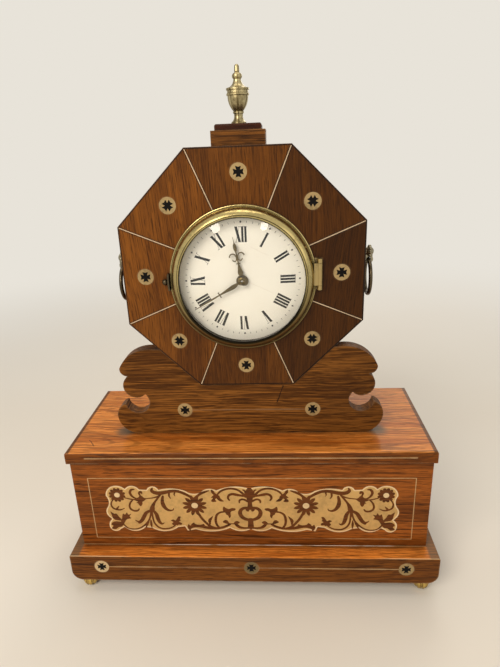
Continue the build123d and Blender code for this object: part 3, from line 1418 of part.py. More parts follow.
def pendulum_bob():
    """A lens-shaped bob slid on the rod."""
    half = BOB_THICK / 2
    edge = 0.12 * BOB_THICK
    r = BOB_RADIUS
    face = profile(
        (0, 0),
        (r, 0),
        (r, edge),
        capped(r, edge, half - edge),
    )
    z = dial(ANCHOR_AT)[1] - PENDULUM_LENGTH
    shape = turned_y(face, (0, z), ROD_Y)
    shape += mirror(shape, about=Plane.XZ.offset(-ROD_Y))
    return shape - rod_z(ROD + PRESS, z - 2 * r, z + 2 * r, 0, ROD_Y)


def back_cock():
    """The bridge on the back plate for the anchor pivot, with the chops that hang the pendulum."""
    x, z = dial(ANCHOR_AT)
    half = COCK_HEIGHT / 2
    shape = board(-COCK_HALF, COCK_HALF, COCK_Y, COCK_Y + COCK_THICK, z - half, z + half)
    for side in (-1, 1):
        foot = side * (COCK_HALF - half)
        shape += rod_y(0.7 * half, PLATE_B_BACK, COCK_Y, (foot, z))
    y1 = ROD_Y + 3 * ROD
    chops = board(-CHOPS_HALF, CHOPS_HALF, COCK_Y, y1, z + half, z + half + CHOPS_HEIGHT)
    shape += chops
    shape -= board(-CHOPS_SLOT, CHOPS_SLOT, ROD_Y - 2.4 * ROD, ROD_Y + 2.4 * ROD, z, z + 2 * half + CHOPS_HEIGHT)
    return shape - rod_y(PIVOT + RUN, COCK_Y, COCK_Y + COCK_THICK, (x, z))


PIECES = {
    "feet": feet,
    "plinth_rails": plinth_rails,
    "plinth_bottom": plinth_bottom,
    "base_strings": base_strings,
    "box_front": box_front,
    "box_back": box_back,
    "box_sides": box_sides,
    "box_inlay": box_inlay,
    "lid_board": lid_board,
    "saddle_front": saddle_front,
    "saddle_block": saddle_block,
    "case_front": case_front,
    "case_hoop": case_hoop,
    "case_strings": case_strings,
    "inlay_roundels": inlay_roundels,
    "inlay_crosses": inlay_crosses,
    "cap_block": cap_block,
    "cap_slab": cap_slab,
    "finial": finial,
    "handle_bosses": handle_bosses,
    "handle_ring_right": handle_ring,
    "handle_ring_left": lambda: mirror(handle_ring(), about=Plane.YZ),
    "bezel_ring": bezel_ring,
    "bezel_glass": bezel_glass,
    "glass_retainer": glass_retainer,
    "bezel_thumb_piece": bezel_thumb_piece,
    "bezel_hinge_leaf": bezel_hinge_leaf,
    "fixed_hinge_leaves": fixed_hinge_leaves,
    "hinge_pins": hinge_pins,
    "dial": dial_disc,
    "dial_plate": dial_plate,
    "dial_pillars": dial_pillars,
    "hour_hand": hour_hand,
    "minute_hand": minute_hand,
    "hand_collet": hand_collet,
    "cannon_pinion": cannon_pinion,
    "minute_wheel": minute_wheel,
    "hour_wheel": hour_wheel,
    "front_plate": front_plate,
    "back_plate": back_plate,
    "plate_pillars": plate_pillars,
    "centre_arbor": centre_arbor,
    "centre_wheel": centre_wheel,
    "third_arbor": third_arbor,
    "third_wheel": third_wheel,
    "escape_arbor": escape_arbor,
    "escape_wheel": escape_wheel,
    "barrel": barrel,
    "mainspring": mainspring,
    "barrel_arbor": barrel_arbor,
    "ratchet_wheel": ratchet_wheel,
    "click": click,
    "anchor": anchor,
    "pendulum_rod": pendulum_rod,
    "pendulum_bob": pendulum_bob,
    "back_cock": back_cock,
    "back_door": back_door,
    "door_glass": door_glass,
    "door_knob": door_knob,
    "door_hinge_leaf": door_hinge_leaf,
}

os.makedirs("parts", exist_ok=True)
for node, build in PIECES.items():
    made = build()
    solids = made if isinstance(made, list) else [made]
    whole = [solid for shape in solids for solid in shape.solids()]
    export_step(Compound(whole) if len(whole) > 1 else whole[0], f"parts/{node}.step")
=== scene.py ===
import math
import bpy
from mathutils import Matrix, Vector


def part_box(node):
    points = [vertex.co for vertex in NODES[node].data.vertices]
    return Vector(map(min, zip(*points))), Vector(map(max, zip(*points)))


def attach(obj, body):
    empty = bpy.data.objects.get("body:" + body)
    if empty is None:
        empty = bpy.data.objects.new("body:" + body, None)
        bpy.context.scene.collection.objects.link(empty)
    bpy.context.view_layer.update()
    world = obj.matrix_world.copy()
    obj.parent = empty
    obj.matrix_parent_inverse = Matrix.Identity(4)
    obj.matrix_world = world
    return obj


bl_info = {
    "name": "Octagonal Mantel Clock",
    "version": (1, 0, 0),
    "blender": (4, 5, 0),
    "location": "3D View > Sidebar > Clock",
    "description": "Dresses the packed mantel clock in wood, brass, enamel and glass, and sets the stage",
    "category": "Object",
}

import bmesh
import bpy
from bpy.props import FloatProperty, FloatVectorProperty, PointerProperty
from mathutils import Matrix, Vector
from mathutils.geometry import tessellate_polygon

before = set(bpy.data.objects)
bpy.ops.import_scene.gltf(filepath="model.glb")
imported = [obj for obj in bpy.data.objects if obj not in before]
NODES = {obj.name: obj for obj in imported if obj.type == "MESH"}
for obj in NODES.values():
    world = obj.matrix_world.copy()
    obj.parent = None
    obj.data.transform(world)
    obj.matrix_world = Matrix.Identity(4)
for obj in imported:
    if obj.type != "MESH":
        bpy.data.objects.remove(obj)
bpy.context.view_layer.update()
MM = 0.001
# Places of an axis in a point
ACROSS, BACK, UP = 0, 1, 2
EIGHTH_TURN = math.pi / 4


def linear(red, green, blue):
    """A colour given on a 0 to 255 scale, as scene linear values."""
    steps = []
    for value in (red, green, blue):
        share = value / 255
        steps.append(share / 12.92 if share <= 0.04045 else ((share + 0.055) / 1.055) ** 2.4)
    return tuple(steps)


def length(label, text, size):
    return FloatProperty(name=label, description=text, default=size * MM, min=0, precision=5, unit="LENGTH")


def power(label, text, watts):
    return FloatProperty(name=label, description=text, default=watts, min=0, unit="POWER")


def colour(label, text, red, green, blue):
    return FloatVectorProperty(
        name=label, description=text, default=linear(red, green, blue), min=0, max=1, size=3, subtype="COLOR"
    )


class ClockSizes(bpy.types.PropertyGroup):
    """Sizes of the drawn and inlaid work that the case carries."""

    numeral_foot: length("Numeral foot", "Radius where the hour numerals begin", 31.2)
    numeral_head: length("Numeral head", "Radius where the hour numerals end", 43.6)
    numeral_stroke: length("Thick stroke", "Width of a numeral's thick stroke", 1.75)
    numeral_hair: length("Hair stroke", "Width of a numeral's thin stroke", 0.28)
    numeral_pitch: length("Stroke pitch", "Distance from one upright to the next", 2.5)
    minute_ring: length("Minute ring", "Radius of the middle of the minute marks", 47.2)
    minute_mark: length("Minute mark", "Length of one minute mark", 1.7)
    minute_width: length("Minute width", "Width of one minute mark", 0.32)
    hour_dot: length("Hour dot", "Half width of the lozenge at every fifth minute", 0.85)
    enamel_rise: length("Paint rise", "Height of fired paint above the enamel", 0.05)
    border_width: length("Border width", "Width of the bright line round the foliage panel", 1.25)
    foliage_rise: length("Foliage rise", "Height of the foliage above its brass ground", 0.06)
    screw_head: length("Screw head", "Radius of the small hinge screws", 1.15)
    floor_size: length("Floor size", "Half width of the floor under the clock", 6000)


class ClockColours(bpy.types.PropertyGroup):
    """Colours of the finishes."""

    case_light: colour("Case light", "Pale grain of the octagon", 136, 81, 27)
    case_dark: colour("Case dark", "Darker grain of the octagon", 92, 51, 16)
    case_streak: colour("Case streak", "Dark lines in the octagon", 30, 16, 6)
    saddle_light: colour("Saddle light", "Pale grain of the saddle", 142, 90, 37)
    saddle_dark: colour("Saddle dark", "Darker grain of the saddle", 80, 46, 16)
    # saddle_streak also colours the painted shade on the right of the saddle.
    saddle_streak: colour("Saddle streak", "Dark lines in the saddle", 30, 16, 6)
    base_light: colour("Base light", "Pale grain of the box", 160, 89, 32)
    base_dark: colour("Base dark", "Darker grain of the box", 100, 52, 15)
    base_streak: colour("Base streak", "Dark lines in the box", 38, 19, 6)
    # The lid's top colours are lighter copies of its wood: painted light from above.
    lit_lid_light: colour("Lid light", "Pale grain of the top of the lid", 234, 150, 70)
    lit_lid_dark: colour("Lid dark", "Darker grain of the top of the lid", 168, 90, 28)
    lid_edge: colour("Lid edge", "Pale grain of the lid's moulded edge", 126, 68, 16)
    lid_edge_dark: colour("Lid edge dark", "Darker grain of the lid's moulded edge", 88, 44, 10)
    slab_light: colour("Slab light", "Pale grain of the slab under the urn", 70, 32, 14)
    slab_dark: colour("Slab dark", "Darker grain of the slab under the urn", 40, 18, 8)
    plinth_light: colour("Plinth light", "Pale grain of the plinth", 126, 73, 24)
    plinth_dark: colour("Plinth dark", "Darker grain of the plinth", 76, 40, 11)
    # The plinth's top colours are lighter copies of its wood: painted light from above.
    lit_ledge: colour("Ledge", "Bright top of the plinth", 240, 148, 62)
    lit_ledge_dark: colour("Ledge dark", "Darker grain of the top of the plinth", 174, 96, 34)
    carcass: colour("Carcass", "Plain wood inside the case", 150, 112, 66)
    brass: colour("Brass", "Clean brass", 196, 178, 122)
    tarnish: colour("Tarnish", "Brass where it has darkened", 92, 78, 48)
    gilt: colour("Gilt", "Gilded wheels and hinges", 178, 156, 106)
    foot_gilt: colour("Foot gilt", "Gilding of the feet", 214, 182, 104)
    urn: colour("Urn", "Pale brass of the urn on top", 190, 177, 136)
    inlay: colour("Inlay", "Brass inlay let into the wood", 194, 160, 112)
    roundel: colour("Roundel", "Brass rings round the crosses", 176, 150, 104)
    case_line: colour("Case line", "Pale lines between the veneers", 216, 190, 158)
    ground: colour("Inlay ground", "Brass ground of the foliage panel", 214, 172, 108)
    # border also colours painted sheen and painted highlights on the wood.
    border: colour("Inlay border", "Bright line round the foliage panel", 236, 208, 164)
    foliage: colour("Foliage", "Dark wood of the foliage", 104, 58, 24)
    # ebony also colours painted shade and painted shadow lines on the wood and brass.
    ebony: colour("Ebony", "Black crosses in the roundels", 18, 15, 13)
    # bronze also colours painted shadows on the lid and the painted reflection at the ends of the plinth's
    # top.
    bronze: colour("Bronze", "Darkened handles", 92, 82, 64)
    boss: colour("Boss", "Grey brass of the handles' bosses", 160, 152, 128)
    # enamel also colours the painted highlight on the brass string along the foot of the box.
    enamel: colour("Enamel", "White of the dial", 252, 248, 239)
    paint: colour("Dial paint", "Black fired on the dial", 8, 8, 8)
    hands: colour("Hands", "Darkened gilt of the hands", 104, 88, 52)
    steel: colour("Steel", "Polished steel of the arbors", 176, 176, 180)
    spring: colour("Spring", "Blued steel of the mainspring", 70, 80, 110)
    glass: colour("Glass", "Tint of the glass", 250, 252, 250)
    floor: colour("Floor", "Pale studio floor", 236, 232, 225)
    backdrop: colour("Backdrop", "Pale surround", 232, 227, 217)


class ClockLight(bpy.types.PropertyGroup):
    """Strengths of the studio light."""

    key: power("Key", "Power of the soft light at the front left", 13.0)
    fill: power("Fill", "Power of the soft light at the front right", 1.8)
    top: power("Top", "Power of the soft light overhead", 5.0)
    rear: power("Rear", "Power of the soft light behind", 6.0)
    glint: power("Glint", "Power of the lamps seen in the dial's glass", 0.35)
    world: FloatProperty(name="World", description="Strength of the light all round", default=0.4, min=0)


def sizes():
    return bpy.context.scene.clock_sizes


def colours():
    return bpy.context.scene.clock_colours


def rgba(name):
    return (*getattr(colours(), name), 1.0)


# Node trees


class Sheet:
    """A node tree that is written one node at a time."""

    def __init__(self, tree):
        self.tree = tree

    def put(self, socket, value):
        if isinstance(value, bpy.types.NodeSocket):
            self.tree.links.new(value, socket)
        else:
            socket.default_value = value

    def add(self, kind, values=(), **settings):
        node = self.tree.nodes.new(kind)
        for name, value in settings.items():
            setattr(node, name, value)
        for key, value in dict(values).items():
            self.put(node.inputs[key], value)
        return node

    def math(self, operation, first, second=0.0):
        return self.add("ShaderNodeMath", {0: first, 1: second}, operation=operation).outputs[0]

    def span(self, value, low, high, start=0.0, end=1.0):
        """A share that runs smoothly from start to end as a value goes from low to high."""
        values = {0: value, 1: low, 2: high, 3: start, 4: end}
        return self.add("ShaderNodeMapRange", values, interpolation_type="SMOOTHSTEP").outputs[0]

    def product(self, first, *others):
        for other in others:
            first = self.math("MULTIPLY", first, other)
        return first

    def most(self, first, *others):
        for other in others:
            first = self.math("MAXIMUM", first, other)
        return first

    def span_plain(self, value, low, high):
        return self.add("ShaderNodeMapRange", {0: value, 1: low, 2: high}).outputs[0]

    def mix(self, share, first, second):
        node = self.add("ShaderNodeMix", {0: share, 6: first, 7: second}, data_type="RGBA")
        return node.outputs[2]

    def times(self, vector, x, y, z):
        return self.add("ShaderNodeVectorMath", {0: vector, 1: (x, y, z)}, operation="MULTIPLY").outputs[0]

    def plus(self, vector, other):
        return self.add("ShaderNodeVectorMath", {0: vector, 1: other}, operation="ADD").outputs[0]

    def noise(self, vector, detail=2.0, rough=0.5, swirl=0.0, scale=1.0, output=0):
        values = {"Vector": vector, "Scale": scale, "Detail": detail, "Roughness": rough, "Distortion": swirl}
        return self.add("ShaderNodeTexNoise", values).outputs[output]

    def vector(self, x, y, z):
        return self.add("ShaderNodeCombineXYZ", {0: x, 1: y, 2: z}).outputs[0]

    def reach(self, x, y, z):
        values = {0: self.vector(x, y, z)}
        return self.add("ShaderNodeVectorMath", values, operation="LENGTH").outputs["Value"]

    def parts(self, vector):
        return self.add("ShaderNodeSeparateXYZ", {0: vector}).outputs

    def place(self):
        return self.add("ShaderNodeTexCoord").outputs["Object"]

    def normal(self):
        return self.parts(self.add("ShaderNodeNewGeometry").outputs["Normal"])

    def rays(self, *kinds):
        """Whether a ray is of one of the given kinds."""
        path = self.add("ShaderNodeLightPath").outputs
        return self.most(*(path[f"Is {kind} Ray"] for kind in kinds))


def group(name, inputs, outputs):
    """A new shader node group with named sockets, as (tree, sheet, its inputs, its output node)."""
    tree = bpy.data.node_groups.new(name, "ShaderNodeTree")
    kinds = {"value": "NodeSocketFloat", "colour": "NodeSocketColor", "vector": "NodeSocketVector"}
    for label, kind in inputs:
        tree.interface.new_socket(name=label, in_out="INPUT", socket_type=kinds[kind])
    for label, kind in outputs:
        tree.interface.new_socket(name=label, in_out="OUTPUT", socket_type=kinds[kind])
    given = tree.nodes.new("NodeGroupInput").outputs
    made = tree.nodes.new("NodeGroupOutput").inputs
    return tree, Sheet(tree), given, made


def wood_grain():
    """Long-grained polished wood: broad tone, dark lines, contour figure, fibres and pores."""
    inputs = [
        ("Vector", "vector"),
        ("Light", "colour"),
        ("Dark", "colour"),
        ("Streak", "colour"),
        ("Streaks", "value"),
        ("Figure", "value"),
        ("Fine", "value"),
        ("Seed", "value"),
    ]
    outputs = [("Color", "colour"), ("Roughness", "value"), ("Height", "value")]
    tree, sheet, given, made = group("Wood Grain", inputs, outputs)
    shift = sheet.vector(*(sheet.math("MULTIPLY", given["Seed"], step) for step in (0.73, 0.31, 0.57)))
    at = sheet.plus(given["Vector"], shift)
    drift = sheet.noise(sheet.times(at, 9, 22, 22), detail=1.0, output=1)
    drift = sheet.times(sheet.plus(drift, (-0.5, -0.5, -0.5)), 0, 0.008, 0.008)
    at = sheet.plus(at, drift)

    def grain(along, over, detail=2.0, rough=0.5):
        """Noise with so many changes to the metre along the grain and over it."""
        return sheet.noise(sheet.times(at, along, over, over), detail=detail, rough=rough)

    broad = grain(3.5, 38)
    bands = grain(5, 150)
    lines = grain(16, 520, 3.0, 0.6)
    comb = grain(22, 1050, 2.0, 0.55)
    fibre = grain(55, 2100)
    pore = grain(75, 1350, 1.0)
    hill = grain(4.2, 26, 1.0)
    contour = sheet.math("SINE", sheet.math("MULTIPLY", hill, 95.0))
    tone = sheet.math("ADD", sheet.math("MULTIPLY", broad, 0.55), sheet.math("MULTIPLY", bands, 0.45))
    for thread, share in ((fibre, 0.35), (comb, given["Fine"])):
        tone = sheet.math("ADD", tone, sheet.math("MULTIPLY", sheet.math("SUBTRACT", thread, 0.5), share))
    base = sheet.mix(sheet.span(tone, 0.3, 0.7), given["Dark"], given["Light"])
    thin = sheet.span(lines, 0.5, 0.68)
    dark = sheet.product(thin, sheet.span(bands, 0.36, 0.62, 0.35, 1.0), given["Streaks"])
    base = sheet.mix(dark, base, given["Streak"])
    ring = sheet.math("MULTIPLY", sheet.span(contour, 0.45, 1.0), given["Figure"])
    base = sheet.mix(ring, base, given["Streak"])
    pores = sheet.span(pore, 0.56, 0.66)
    base = sheet.mix(sheet.math("MULTIPLY", pores, 0.5), base, given["Streak"])
    sheet.put(made["Color"], base)
    rough = sheet.math("ADD", sheet.span(fibre, 0.3, 0.7, 0.30, 0.40), sheet.math("MULTIPLY", pores, 0.12))
    sheet.put(made["Roughness"], rough)
    sheet.put(made["Height"], sheet.math("SUBTRACT", sheet.math("MULTIPLY", fibre, 0.4), pores))
    return tree


def edges_and_corners():
    """Masks for rubbed outer edges, lightened as a painted sheen as well, and for dirt and painted shade in
    inner corners.
    """
    inputs = [("Edge", "value"), ("Corner", "value")]
    tree, sheet, given, made = group("Edges And Corners", inputs, [("Wear And Sheen", "value"), ("Grime And Shade", "value")])
    kind = "ShaderNodeAmbientOcclusion"
    rub = sheet.add(kind, {"Distance": given["Edge"]}, inside=True, only_local=True, samples=6)
    soil_and_shade = sheet.add(kind, {"Distance": given["Corner"]}, samples=6)
    patch = sheet.noise(sheet.place(), detail=3.0, scale=70.0)
    # Rubbed edges lighten as wear and as a painted sheen of the light they catch.
    wear_and_sheen = sheet.span(rub.outputs["AO"], 0.92, 0.5)
    sheet.put(made["Wear And Sheen"], sheet.math("MULTIPLY", wear_and_sheen, sheet.span(patch, 0.35, 0.6)))
    # The corners darken as dirt and as painted shade where less light falls.
    grime_and_shade = sheet.span(soil_and_shade.outputs["AO"], 0.9, 0.35)
    sheet.put(made["Grime And Shade"], sheet.math("MULTIPLY", grime_and_shade, sheet.span(patch, 0.2, 0.6, 0.55, 1.0)))
    return tree


def aged_brass():
    """Brass that has dulled in patches, with fine rub marks."""
    inputs = [("Bright", "colour"), ("Dull", "colour")]
    inputs += [(label, "value") for label in ("Age", "Grime And Shade", "Gloss")]
    outputs = [("Color", "colour"), ("Roughness", "value"), ("Height", "value")]
    tree, sheet, given, made = group("Aged Brass", inputs, outputs)
    at = sheet.place()
    cloud = sheet.noise(at, detail=4.0, rough=0.6, scale=55.0)
    speck = sheet.noise(at, detail=3.0, scale=420.0)
    rub = sheet.noise(sheet.times(at, 900, 300, 2600), detail=2.0)
    age = sheet.math("ADD", sheet.math("MULTIPLY", cloud, 0.65), sheet.math("MULTIPLY", speck, 0.35))
    age = sheet.math("MULTIPLY", sheet.span(age, 0.4, 0.68), given["Age"])
    age = sheet.math("MAXIMUM", age, given["Grime And Shade"])
    sheet.put(made["Color"], sheet.mix(age, given["Bright"], given["Dull"]))
    rough = sheet.math("ADD", sheet.math("MULTIPLY", age, 0.22), sheet.math("MULTIPLY", rub, 0.10))
    sheet.put(made["Roughness"], sheet.math("ADD", rough, given["Gloss"]))
    height = sheet.math("ADD", sheet.math("MULTIPLY", rub, 0.5), sheet.math("MULTIPLY", speck, 0.5))
    sheet.put(made["Height"], height)
    return tree


def eight_segments():
    """The octagon's eight veneers: seed, slant and painted shade of each, darker on the side turned from the
    light, reach outward and distance to a seam.
    """
    inputs = [("Middle X", "value"), ("Middle Z", "value")]
    outputs = [(label, "value") for label in ("Seed", "Slant", "Depth", "Reach", "Seam")]
    tree, sheet, given, made = group("Eight Segments", inputs, outputs)
    x, _, z = sheet.parts(sheet.place())
    across = sheet.math("SUBTRACT", x, given["Middle X"])
    up = sheet.math("SUBTRACT", z, given["Middle Z"])
    turn = sheet.math("ARCTAN2", up, across)
    turns = sheet.math("ADD", sheet.math("DIVIDE", turn, EIGHTH_TURN), 8.5)
    index = sheet.math("MODULO", sheet.math("FLOOR", turns), 8.0)
    share = sheet.math("FRACT", turns)
    near = sheet.math("MINIMUM", share, sheet.math("SUBTRACT", 1.0, share))
    sheet.put(made["Seam"], sheet.product(near, EIGHTH_TURN, sheet.reach(across, up, 0.0)))
    chance = sheet.add("ShaderNodeTexWhiteNoise", {"W": index}, noise_dimensions="1D")
    sheet.put(made["Seed"], sheet.math("MULTIPLY", chance.outputs["Value"], 9.0))
    slant = sheet.math("SUBTRACT", sheet.parts(chance.outputs["Color"])[1], 0.5)
    sheet.put(made["Slant"], sheet.math("MULTIPLY", slant, 0.24))
    # Segments turned from the light are darker: painted shade.
    away_from_light = sheet.math("COSINE", sheet.math("ADD", sheet.math("MULTIPLY", index, EIGHTH_TURN), 0.2))
    sheet.put(made["Depth"], sheet.span_plain(away_from_light, -1.1, 1.0))
    wide, tall = sheet.math("ABSOLUTE", across), sheet.math("ABSOLUTE", up)
    slope = sheet.math("MULTIPLY", sheet.math("ADD", wide, tall), math.sqrt(0.5))
    sheet.put(made["Reach"], sheet.most(wide, tall, slope))
    return tree


GROUP_MAKERS = {
    "Wood Grain": wood_grain,
    "Edges And Corners": edges_and_corners,
    "Aged Brass": aged_brass,
    "Eight Segments": eight_segments,
}


def use(sheet, name, values):
    """Places a shared group in a material, building it the first time."""
    tree = bpy.data.node_groups.get(name) or GROUP_MAKERS[name]()
    node = sheet.add("ShaderNodeGroup", node_tree=tree)
    for key, value in values.items():
        sheet.put(node.inputs[key], value)
    return node.outputs


def finish_material(name, **plain):
    """A material with a Principled shader whose plain values are set on its own sockets."""
    material = bpy.data.materials.new(name)
    material.use_nodes = True
    shader = material.node_tree.nodes["Principled BSDF"]
    for key, value in plain.items():
        shader.inputs[key.replace("_", " ").title().replace("Ior", "IOR")].default_value = value
    return Sheet(material.node_tree), shader, material


def blend(sheet, share, shader, other):
    """Shows another shader in place of a material's own, by a share."""
    mixed = sheet.add("ShaderNodeMixShader", {0: share, 1: shader.outputs[0], 2: other.outputs[0]})
    sheet.put(sheet.tree.nodes["Material Output"].inputs["Surface"], mixed.outputs[0])


def bump(sheet, shader, height, strength, depth):
    node = sheet.add("ShaderNodeBump", {"Strength": strength, "Distance": depth, "Height": height})
    sheet.put(shader.inputs["Normal"], node.outputs[0])


# Tones of the woods: pale grain, darker grain and streak
CASE_TONES = ("case_light", "case_dark", "case_streak")
SADDLE_TONES = ("saddle_light", "saddle_dark", "saddle_streak")
BASE_TONES = ("base_light", "base_dark", "base_streak")
# Painted shadow line round the octagon's rim, and dark joint lines at its seams, in metres from the rim or
# from a seam: where they begin and where they are full
RIM_SHADOW = (0.0017, 0.0009)
SEAM_LINE = (0.0016, 0.0008)
# Widths of the rubbed edges, in metres; on the wood these edges also take a painted sheen
WOOD_EDGE = 0.0014
METAL_EDGE = 0.0004
# How far a crack wanders from its straight line, in metres
CRACK_WANDER = 0.003


def with_marks(sheet, shade, marks):
    """A colour with marks laid over it, each a mask and the name of its colour."""
    for mark, tone in marks:
        shade = sheet.mix(mark(sheet), shade, rgba(tone))
    return shade


def wood(
    name,
    tones,
    run="x",
    streaks=0.8,
    figure=0.0,
    fine=0.6,
    seed=0.0,
    gloss=0.09,
    wear_and_sheen=0.1,
    dull=0.06,
    corner=0.012,
    top=None,
    marks=(),
):
    """Polished wood with its grain along an axis, turned on end faces, or in the eight segments."""
    light, dark, streak = (rgba(tone) for tone in tones)
    polish = {"coat_weight": gloss, "coat_roughness": 0.16, "specular_ior_level": 0.07}
    sheet, shader, material = finish_material(name, **polish)
    at = sheet.place()
    normal = sheet.normal()
    if run == "segments":
        low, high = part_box("case_front")
        middle = (low + high) / 2
        veneer = use(sheet, "Eight Segments", {"Middle X": middle.x, "Middle Z": middle.z})
        seed = veneer["Seed"]
        values = {"Vector": at, "Angle": veneer["Slant"]}
        at = sheet.add("ShaderNodeVectorRotate", values, rotation_type="Y_AXIS").outputs[0]
        # Painted shade of each segment, darker on the side turned from the light.
        shade = sheet.math("MULTIPLY", veneer["Depth"], 0.8)
        light, dark = (sheet.mix(shade, tone, streak) for tone in (light, dark))
    # Faces that look up take lighter colours: painted light from above.
    if top:
        up = sheet.span(normal[UP], 0.5, 0.8)
        light, dark = sheet.mix(up, light, rgba(top[0])), sheet.mix(up, dark, rgba(top[1]))
    x, y, z = sheet.parts(at)
    if run == "x":
        share = sheet.span(sheet.math("ABSOLUTE", normal[ACROSS]), 0.6, 0.62)
        values = {0: share, 4: at, 5: sheet.vector(y, x, z)}
        along = sheet.add("ShaderNodeMix", values, data_type="VECTOR").outputs[1]
    elif run == "y":
        along = sheet.vector(y, x, z)
    else:
        along = sheet.vector(z, x, y)
    values = {"Vector": along, "Light": light, "Dark": dark, "Streak": streak}
    values.update({"Streaks": streaks, "Figure": figure, "Fine": fine, "Seed": seed})
    grain = use(sheet, "Wood Grain", values)
    rub = use(sheet, "Edges And Corners", {"Edge": WOOD_EDGE, "Corner": corner})
    # Rubbed edges turn pale, partly a painted sheen; dirt with painted shade darkens the inner corners.
    shade = sheet.mix(sheet.math("MULTIPLY", rub["Wear And Sheen"], wear_and_sheen), grain["Color"], rgba("border"))
    shade = sheet.mix(sheet.math("MULTIPLY", rub["Grime And Shade"], 0.6), shade, rgba("ebony"))
    if run == "segments":
        rim = (high.x - low.x) / 2
        # A painted shadow line along the rim, and dark joint lines at the seams.
        line = sheet.span(veneer["Reach"], rim - RIM_SHADOW[0], rim - RIM_SHADOW[1], 0.0, 0.8)
        line = sheet.most(line, sheet.span(veneer["Seam"], *SEAM_LINE, 0.0, 0.6))
        line = sheet.math("MULTIPLY", line, sheet.span(normal[BACK], -0.5, -0.8))
        shade = sheet.mix(line, shade, rgba("ebony"))
    sheet.put(shader.inputs["Base Color"], with_marks(sheet, shade, marks))
    sheet.put(shader.inputs["Roughness"], sheet.math("ADD", grain["Roughness"], dull))
    bump(sheet, shader, grain["Height"], 0.25, 0.0002)
    return material


def metal(name, bright, dull, age, gloss, corner=0.003, metallic=1.0, soil_and_shade=None, marks=()):
    """Aged brass, gilt, bronze or steel, with a mask for where it is duller, from dirt and from painted
    shade, and marks of other colours.
    """
    sheet, shader, material = finish_material(name, metallic=metallic)
    rub = use(sheet, "Edges And Corners", {"Edge": METAL_EDGE, "Corner": corner})
    # The corners' darkening is dirt with painted shade; the mask passed in adds more, painted shade on the
    # bezel.
    grime_and_shade = sheet.most(rub["Grime And Shade"], soil_and_shade(sheet)) if soil_and_shade else rub["Grime And Shade"]
    values = {"Bright": rgba(bright), "Dull": rgba(dull), "Age": age, "Grime And Shade": grime_and_shade, "Gloss": gloss}
    skin = use(sheet, "Aged Brass", values)
    sheet.put(shader.inputs["Base Color"], with_marks(sheet, skin["Color"], marks))
    sheet.put(shader.inputs["Roughness"], skin["Roughness"])
    bump(sheet, shader, skin["Height"], 0.12, 0.0001)
    return material


# Masks: each is set up for its place in metres, and then drawn on the sheet of a material


def hairline(start, end, width, axis, depth):
    """A fine crack along an axis from one point to another, both as (across, along)."""

    def mask(sheet):
        at = sheet.place()
        place = sheet.parts(at)
        share = sheet.span_plain(place[axis], start[1], end[1])
        line = sheet.math("ADD", sheet.math("MULTIPLY", share, end[0] - start[0]), start[0])
        wander = sheet.math("SUBTRACT", sheet.noise(at, detail=2.0, scale=260.0), 0.5)
        line = sheet.math("ADD", line, sheet.math("MULTIPLY", wander, CRACK_WANDER))
        off = sheet.math("ABSOLUTE", sheet.math("SUBTRACT", place[ACROSS], line))
        core = sheet.span(off, 0.3 * width, width, depth, 0.0)
        return sheet.product(core, sheet.span(share, 0.0, 0.05), sheet.span(share, 1.0, 0.9))

    return mask


def facing_up(sheet):
    return sheet.span(sheet.normal()[UP], 0.5, 0.8)


def dark_ends(node, width, depth):
    """The top of a board along its two ends."""
    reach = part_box(node)[1].x

    def mask(sheet):
        across = sheet.math("ABSOLUTE", sheet.parts(sheet.place())[ACROSS])
        ends = sheet.span(across, reach - width, reach - 0.7 * width, 0.0, depth)
        return sheet.product(ends, facing_up(sheet))

    return mask


def foot_shade(width, soft, depth):
    """Painted shade in a line on top of the plinth along the foot of the box."""
    low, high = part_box("box_front")

    def mask(sheet):
        x, y, _ = sheet.parts(sheet.place())
        out = sheet.math("SUBTRACT", low.y, y)
        line = sheet.product(sheet.span(out, -soft, 0.0, 0.0, depth), sheet.span(out, width + soft, width))
        inside = sheet.span(sheet.math("ABSOLUTE", x), high.x, high.x - 0.004)
        return sheet.product(line, inside, facing_up(sheet))

    return mask


def ramp(axis, clean, dark, depth):
    """Growth from one place to another along an axis."""

    def mask(sheet):
        return sheet.span(sheet.parts(sheet.place())[axis], clean, dark, 0.0, depth)

    return mask


def streaks_down(node, depth):
    """Streaks that run down a turned piece."""
    low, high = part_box(node)
    middle = (low + high) / 2

    def mask(sheet):
        x, y, z = sheet.parts(sheet.place())
        out = sheet.vector(sheet.math("SUBTRACT", x, middle.x), sheet.math("SUBTRACT", y, middle.y), 0.0)
        way = sheet.add("ShaderNodeVectorMath", {0: out}, operation="NORMALIZE").outputs[0]
        level = sheet.vector(0.0, 0.0, sheet.math("MULTIPLY", z, 18.0))
        at = sheet.plus(sheet.times(way, 2.4, 2.4, 0), level)
        return sheet.span(sheet.noise(at, detail=3.0), 0.45, 0.58, 0.0, depth)

    return mask


def inner_edge_shadow(node, width, depth):
    """Painted shadow along the inner edge of a ring round the dial."""
    low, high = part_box(node)
    middle = (low + high) / 2
    points = [point.co - middle for point in NODES[node].data.vertices]
    inner = min(math.hypot(point.x, point.z) for point in points)

    def mask(sheet):
        x, _, z = sheet.parts(sheet.place())
        radius = sheet.reach(sheet.math("SUBTRACT", x, middle.x), 0.0, sheet.math("SUBTRACT", z, middle.z))
        return sheet.span(radius, inner + width, inner + 0.4 * width, 0.0, depth)

    return mask


